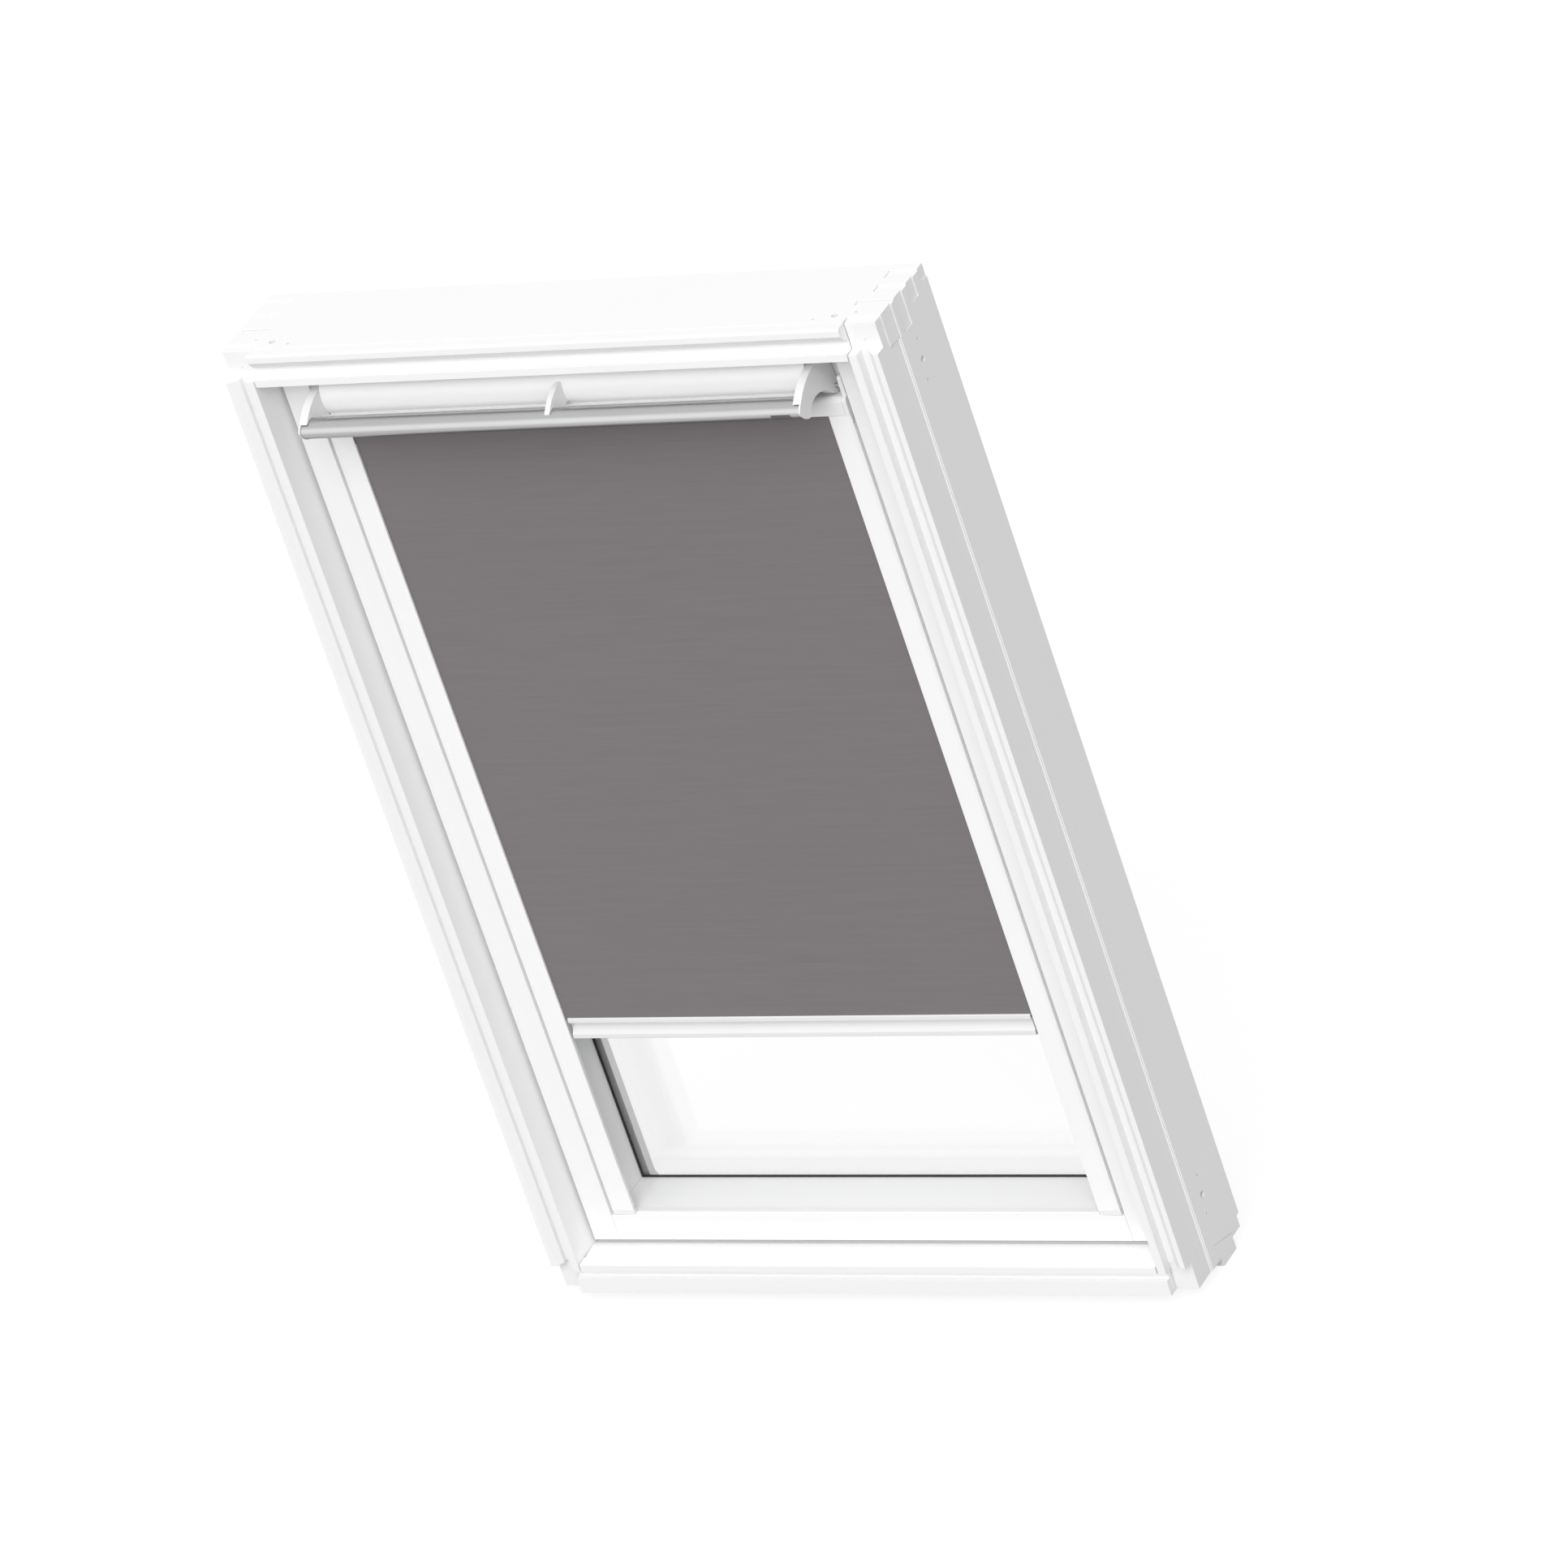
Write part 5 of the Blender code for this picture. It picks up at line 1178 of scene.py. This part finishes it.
@dataclass
class VentFlap:
    """Ventilation flap with its brackets, seal and control bar."""

    workshop: Workshop
    flap_half: float = 0.2887
    flap_front: float = 0.0122
    flap_back: float = 0.0355
    flap_top: float = 0.0443
    flap_middle: float = 0.0635
    flap_round: float = 0.010
    flap_wall: float = 0.0025
    flap_curl: float = 73.0
    gutter_depth: float = 0.0023
    lip: Section = ((0.0105, 0.0830), (0.0044, 0.0795), (0.0023, 0.0755), (0.0092, 0.0780),
                    (0.0105, 0.0830))
    plate_ends: tuple[float, float] = (0.2625, 0.2845)
    plate_edges: tuple[float, float] = (1.1045, 1.1105)
    plate_lift: float = 0.00035
    plate_gap: float = 0.0001
    plate_reach: float = 0.014
    plate_lean: float = -0.15

    def build(self) -> None:
        """Dress the flap's pieces and put the bare plate on the bar."""
        dress = self.workshop.dress
        dress(Finish.FLAP_COAT, Ease.SLIGHT, "vent_flap", crease=CURVED_CREASE, shape=self.flap_mesh)
        dress(Finish.RUBBER, Ease.SLIGHT, "flap_seal")
        # The brackets' moulding is darkened as painted shade
        dress(Finish.BRACKET_PLASTIC, Ease.SOFT, "bracket_left", "bracket_middle", "bracket_right",
              crease=CURVED_CREASE)
        dress(Finish.BAR_METAL, Ease.SLIGHT, "control_bar", crease=CURVED_CREASE)
        dress(Finish.ZINC, Ease.CRISP, "flap_pin_left", "flap_pin_right")
        self.add_plate()

    def flap_mesh(self, _node: str) -> Mesh:
        """The flap: an oval front that curls under to a gutter behind its forward lip.

        Args:
            _node: The flap's node, of whose mesh nothing is kept.

        Returns:
            Its mesh.
        """
        bm = bmesh.new()
        centre = Vector((0, y_at(self.flap_front + self.flap_round), z_at(self.flap_middle)))
        height = self.flap_middle - self.flap_top
        curl = radians(self.flap_curl)
        outer = oval_arc(bm, centre, (self.flap_round, height), -curl, pi / 2)
        wall = self.flap_wall
        back = [bm.verts.new((0, y_at(self.flap_back), z_at(self.flap_top + drop))) for drop in (0, wall)]
        inner = oval_arc(bm, centre, (self.flap_round - wall, height - wall), pi / 2, -curl)
        heel = outer[0].co
        under = (heel.y, heel.z - self.gutter_depth)
        sole = bm.verts.new((0, under[0] + wall, under[1] - wall))
        lip = [bm.verts.new((0, y_at(depth), z_at(drop))) for depth, drop in self.lip]
        lip[0].co.z -= wall
        shelf = bm.verts.new((0, *under))
        bm.faces.new(outer + back + inner + [sole] + lip + [shelf])
        bmesh.ops.translate(bm, verts=bm.verts, vec=(-self.flap_half, 0, 0))
        thicken(bm, ACROSS * 2 * self.flap_half)
        return bm

    def add_plate(self) -> None:
        """The plate that follows the bar's lower front, left bare."""
        bm = self.workshop.merged("control_bar")
        for axis, (low, high) in ((ACROSS, self.plate_ends), (UP, self.plate_edges)):
            cut_off(bm, axis * low, -axis)
            cut_off(bm, axis * high, axis)
        nose = min(vert.co.y for vert in bm.verts)
        back = [face for face in bm.faces
                if face.normal.y > self.plate_lean or face.calc_center_median().y > nose + self.plate_reach]
        bmesh.ops.delete(bm, geom=back, context="FACES")
        # The lift follows the whole bar's normals, which the update then replaces by the plate's own
        lift = {vert: vert.normal * self.plate_lift for vert in bm.verts}
        bm.normal_update()
        for vert, by in lift.items():
            vert.co += by
        bmesh.ops.recalc_face_normals(bm, faces=bm.faces)
        if sum(face.normal.y for face in bm.faces) > 0:
            bmesh.ops.reverse_faces(bm, faces=bm.faces)
        bmesh.ops.solidify(bm, geom=bm.faces[:], thickness=self.plate_lift - self.plate_gap)
        bmesh.ops.recalc_face_normals(bm, faces=bm.faces)
        self.workshop.finish_piece("bar_plate", bm, Finish.DARK_PLATE, "flap")


@dataclass
class BlindHead:
    """The blind's casing with the roller, its spring and the wound cloth."""

    workshop: Workshop
    hinge_depth: float = 0.046
    hinge_drop: float = 0.090
    ear_half: float = 0.0065
    ear_near: float = 0.0003
    ear_drop: float = 0.0767
    ear_round: float = 0.003
    ear_steps: int = 5
    corner_near: float = 0.0001
    roller_y: float = y_at(0.04985)
    roller_z: float = z_at(0.114)
    cloth_half: float = 0.302
    wound_inner: float = 0.0093
    layer: float = 0.00047
    layers: int = 4
    layer_shift: float = 0.00025
    layer_gap: float = 0.0003
    turn_steps: int = 48

    def build(self) -> None:
        """Dress the casing and the roller."""
        dress = self.workshop.dress
        dress(Finish.CASING_PLASTIC, Ease.SLIGHT, "blind_casing", crease=MOULDED_CREASE)
        for _, side in SIDES:
            dress(Finish.CASING_PLASTIC, Ease.SLIGHT, "casing_cap_" + side, crease=MOULDED_CREASE,
                  shape=self.eared_cap)
            dress(Finish.GREY_PLASTIC, Ease.CRISP, "roller_plug_" + side)
        dress(Finish.TUBE_METAL, Ease.CRISP, "roller_tube")
        dress(Finish.ZINC, Ease.CRISP, "spring_shaft", "idle_pin")
        dress(Finish.ZINC, Ease.NONE, "return_spring")
        self.wind_cloth()

    def eared_cap(self, node: str) -> Mesh:
        """A casing cap whose bearing lug is squared off and rounded at its front corner.

        Args:
            node: The cap's node.

        Returns:
            Its mesh.
        """
        bm = self.workshop.merged(node)
        hinge = Vector((0, y_at(self.hinge_depth), z_at(self.hinge_drop)))
        for vert in bm.verts:
            away = vert.co - hinge
            away.x = 0
            if away.length > self.ear_half - self.ear_near and away.z > 0:
                vert.co.y = hinge.y + (self.ear_half if away.y > 0 else -self.ear_half)
                vert.co.z = z_at(self.ear_drop)
        bmesh.ops.remove_doubles(bm, verts=bm.verts, dist=MERGE_DISTANCE)
        bmesh.ops.dissolve_degenerate(bm, edges=bm.edges, dist=MERGE_DISTANCE)
        corner = [edge for edge in bm.edges
                  if all(vert.co.z > z_at(self.ear_drop) - self.corner_near and vert.co.y < hinge.y
                         for vert in edge.verts)]
        round_off(bm, corner, self.ear_round, self.ear_steps)
        bmesh.ops.recalc_face_normals(bm, faces=bm.faces)
        return bm

    def wind_cloth(self) -> None:
        """Cloth wound on the tube, with the edge of each layer showing at its ends."""
        bm = bmesh.new()
        rim: list[tuple[float, float]] = []
        for number in range(self.layers + 1):
            radius = self.wound_inner + number * self.layer
            edge = self.cloth_half - (self.layer_shift if number % 2 else 0.0)
            rim.append((edge, radius))
            if number < self.layers:
                rim.append((edge - self.layer_gap, radius + self.layer / 2))
        profile = rim + [(-x, radius) for x, radius in reversed(rim)]
        verts = [bm.verts.new((x, self.roller_y, self.roller_z + radius)) for x, radius in profile]
        edges = [bm.edges.new((verts[i - 1], verts[i])) for i in range(len(verts))]
        bmesh.ops.spin(bm, geom=verts + edges, cent=(0, self.roller_y, self.roller_z), axis=(1, 0, 0),
                       angle=tau, steps=self.turn_steps, use_merge=True)
        bmesh.ops.recalc_face_normals(bm, faces=bm.faces)
        self.workshop.finish_piece("wound_cloth_layers", bm, Finish.CLOTH, "roller", "wound_cloth")


@dataclass
class ClothRun:
    """The free cloth: a woven face from the roller, and its coated backing from the pull bar.

    The face rides on the sash's body and the backing on the pull bar's body.
    """

    workshop: Workshop
    half: float = 0.302
    top: float = 1.0745
    low: float = 0.3388
    backing_length: float = 0.70
    face_depth: tuple[float, float] = (0.03785, 0.03810)
    backing_depth: tuple[float, float] = (0.03815, 0.03840)
    face_keep: float = 0.028
    backing_keep: float = 0.025
    rows: int = 24

    def slab(self, high: float, depths: tuple[float, float]) -> Mesh:
        """A thin closed cloth in the plane of the channels.

        Args:
            high: Z of its upper edge.
            depths: Depths of its room side and its weather side.

        Returns:
            Its mesh.
        """
        bm = bmesh.new()
        bmesh.ops.create_cube(bm, size=1.0)
        tall, thick = high - self.low, depths[1] - depths[0]
        bmesh.ops.scale(bm, verts=bm.verts, vec=(2 * self.half, thick, tall))
        bmesh.ops.translate(bm, verts=bm.verts, vec=(0, y_at(depths[0]) + thick / 2, high - tall / 2))
        upright = [edge for edge in bm.edges
                   if abs(edge.verts[0].co.z - edge.verts[1].co.z) > tall / 2]
        bmesh.ops.subdivide_edges(bm, edges=upright, cuts=self.rows, use_grid_fill=True)
        return bm

    def build(self) -> None:
        """Make both layers."""
        face = self.workshop.finish_piece(
            "blackout_cloth_woven", self.slab(self.top, self.face_depth), Finish.CLOTH, "sash",
            "blackout_cloth")
        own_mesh(face)
        backing = self.workshop.finish_piece(
            "blackout_cloth_backing", self.slab(self.low + self.backing_length, self.backing_depth),
            Finish.CLOTH, "puller")
        coat_sides(backing, Finish.CLOTH_BACK, both=False)
        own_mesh(backing)


@dataclass
class BlindRun:
    """Side channels, their feet, the catch strip, and the pull bar with its glides."""

    workshop: Workshop
    channel_out: float = 0.3107
    channel_inner: float = 0.2845
    face_depth: float = 0.0346
    face_slope: float = 0.0015
    face_near: float = 0.0001
    edge: float = 0.0005
    bead: float = 0.0027
    groove: float = 0.0005
    crown: float = 0.0011
    crown_cuts: int = 6
    cut_near: float = 1e-6

    def build(self) -> None:
        """Dress the run's pieces."""
        dress = self.workshop.dress
        for _, side in SIDES:
            dress(Finish.CHANNEL_COAT, Ease.CRISP, "channel_" + side, shape=self.crowned_channel)
            dress(Finish.WHITE_PLASTIC, Ease.BUTTON, "channel_foot_" + side, steps=4)
            dress(Finish.GREY_PLASTIC, Ease.SOFT, "glide_" + side)
        dress(Finish.CHANNEL_COAT, Ease.SLIGHT, "catch_strip")
        dress(Finish.PULL_METAL, Ease.SLIGHT, "pull_bar", crease=MOULDED_CREASE)

    def crowned_channel(self, node: str) -> Mesh:
        """A channel with a bead along its outer edge, a step beside it and a crowned face.

        Args:
            node: The channel's node.

        Returns:
            Its mesh.
        """
        bm = self.workshop.merged(node)
        ridge = self.channel_out - self.bead
        start = ridge - self.groove
        inner = self.channel_inner + self.edge
        lines = [(ridge, 0.0)] + [(start + (inner - start) * i / self.crown_cuts,
                                   self.crown * (1 - i / self.crown_cuts) ** 2)
                                  for i in range(self.crown_cuts + 1)]
        limit = y_at(self.face_depth + self.face_slope) + self.face_near
        for half, _ in lines:
            front = [face for face in bm.faces if all(vert.co.y < limit for vert in face.verts)]
            around = {item for face in front for item in list(face.verts) + list(face.edges)}
            for place in (half, -half):
                bmesh.ops.bisect_plane(bm, geom=[item for item in front + list(around) if item.is_valid],
                                       dist=self.cut_near, plane_co=ACROSS * place, plane_no=ACROSS)
        for vert in bm.verts:
            for half, depth in lines:
                if vert.co.y < limit and abs(abs(vert.co.x) - half) < MERGE_DISTANCE:
                    vert.co.y = y_at(self.face_depth + depth)
            if abs(abs(vert.co.x) - self.channel_inner) < MERGE_DISTANCE and vert.co.y < limit + self.edge:
                vert.co.y = y_at(self.face_depth + self.edge)
        return bm


@dataclass
class Studio:
    """White floor and surround, soft light, and the camera of the photograph."""

    lens: float = 251.97
    sensor: float = 36.0
    sight_end: float = 200.0
    place: Vector = field(default_factory=lambda: Vector((5.84328, -8.23348, 5.87956)))
    ahead: Vector = field(default_factory=lambda: Vector((-0.50842558, 0.72584164, -0.46331128)))
    upward: Vector = field(default_factory=lambda: Vector((0.01856317, 0.54715576, 0.83682494)))
    ambient: float = 0.57
    ambient_front: float = 0.37
    ambient_above: float = 0.32
    key_strength: float = 1.52
    key_from: Vector = field(default_factory=lambda: Vector((0.28, -0.74, 0.61)))
    key_spread: float = 45.0
    floor_albedo: float = 0.3
    floor_glow: float = 0.87
    floor_shade: float = 0.16
    floor_half: float = 40.0
    floor_drop: float = 0.0008
    white: tuple[float, float, float, float] = (1.0, 1.0, 1.0, 1.0)

    def build(self) -> None:
        """Set the camera, the floor, the world and the lamp."""
        self.set_camera()
        self.lay_floor()
        self.set_world()
        self.hang_key()
        bpy.context.scene.view_settings.view_transform = "Standard"

    def set_camera(self) -> None:
        """The camera, solved from the frame's corners in the photograph."""
        data = bpy.data.cameras.new("photo_camera")
        data.lens = self.lens
        data.sensor_width = self.sensor
        data.clip_end = self.sight_end
        camera = put("photo_camera", data)
        back = -self.ahead.normalized()
        across = self.upward.cross(back).normalized()
        turn = Matrix((across, back.cross(across), back)).transposed().to_4x4()
        camera.matrix_world = Matrix.Translation(self.place) @ turn
        bpy.context.scene.camera = camera

    def cleared(self, owner: bpy.types.ID) -> Graph:
        """The graph of a material or a world, with no node in it.

        Args:
            owner: The material or the world.

        Returns:
            Its graph.
        """
        owner.use_nodes = True
        owner.node_tree.nodes.clear()
        return Graph(owner.node_tree)

    def lay_floor(self) -> None:
        """A white floor that keeps the object's shadow."""
        bm = bmesh.new()
        bmesh.ops.create_grid(bm, x_segments=1, y_segments=1, size=self.floor_half)
        bmesh.ops.translate(bm, verts=bm.verts, vec=(0, 0, -self.floor_drop))
        floor = put("floor", kept("floor", bm))
        material = bpy.data.materials.new("studio_floor")
        graph = self.cleared(material)
        grey = graph.add("BsdfDiffuse", {"Color": (self.floor_albedo,) * 3 + (1.0,)})
        shade = graph.add("BsdfDiffuse", {"Color": (self.floor_shade,) * 3 + (1.0,)})
        glow = graph.add("Emission", {"Color": self.white, "Strength": self.floor_glow})
        seen = graph.add("AddShader", {0: shade.outputs[0], 1: glow.outputs[0]})
        mixed = graph.add("MixShader", {0: self.seen_rays(graph), 1: grey.outputs[0], 2: seen.outputs[0]})
        graph.add("OutputMaterial", {"Surface": mixed.outputs[0]})
        floor.data.materials.append(material)

    def seen_rays(self, graph: Graph) -> Socket:
        """Tell the rays that show the background: from the camera, or by gloss or glass.

        Args:
            graph: The graph of the floor's material or of the world.

        Returns:
            1 for such a ray and 0 for any other.
        """
        path = graph.add("LightPath")
        mirrored = graph.math("MAXIMUM", path.outputs["Is Glossy Ray"], path.outputs["Is Transmission Ray"])
        return graph.math("MAXIMUM", path.outputs["Is Camera Ray"], mirrored)

    def set_world(self) -> None:
        """Light from all round, a little stronger from the room's side and from above, seen as white."""
        world = bpy.data.worlds.new("studio")
        bpy.context.scene.world = world
        graph = self.cleared(world)
        way = graph.add("SeparateXYZ", {"Vector": graph.add("TexCoord").outputs["Generated"]})
        level = graph.math("MULTIPLY_ADD", way.outputs["Y"], -self.ambient_front, self.ambient)
        level = graph.math("MULTIPLY_ADD", way.outputs["Z"], self.ambient_above, level)
        light = graph.add("Background", {"Color": self.white, "Strength": level})
        plain = graph.add("Background", {"Color": self.white, "Strength": 1.0})
        mixed = graph.add("MixShader", {0: self.seen_rays(graph), 1: light.outputs[0], 2: plain.outputs[0]})
        graph.add("OutputWorld", {"Surface": mixed.outputs[0]})

    def hang_key(self) -> None:
        """A broad soft lamp above the room."""
        data = bpy.data.lights.new("key", "SUN")
        data.energy = self.key_strength
        data.angle = radians(self.key_spread)
        put("key", data).rotation_euler = self.key_from.to_track_quat("Z", "Y").to_euler()


def main() -> None:
    """Load the frame, light it and dress it."""
    logging.basicConfig(level=logging.INFO, format="%(message)s")
    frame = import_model()
    Studio().build()
    workshop = Workshop(frame)
    for assembly in (OuterFrame, Sash, VentFlap, BlindHead, BlindRun, ClothRun):
        assembly(workshop).build()
        LOG.info("%s is built", assembly.__name__)


if __name__ == "__main__":
    main()
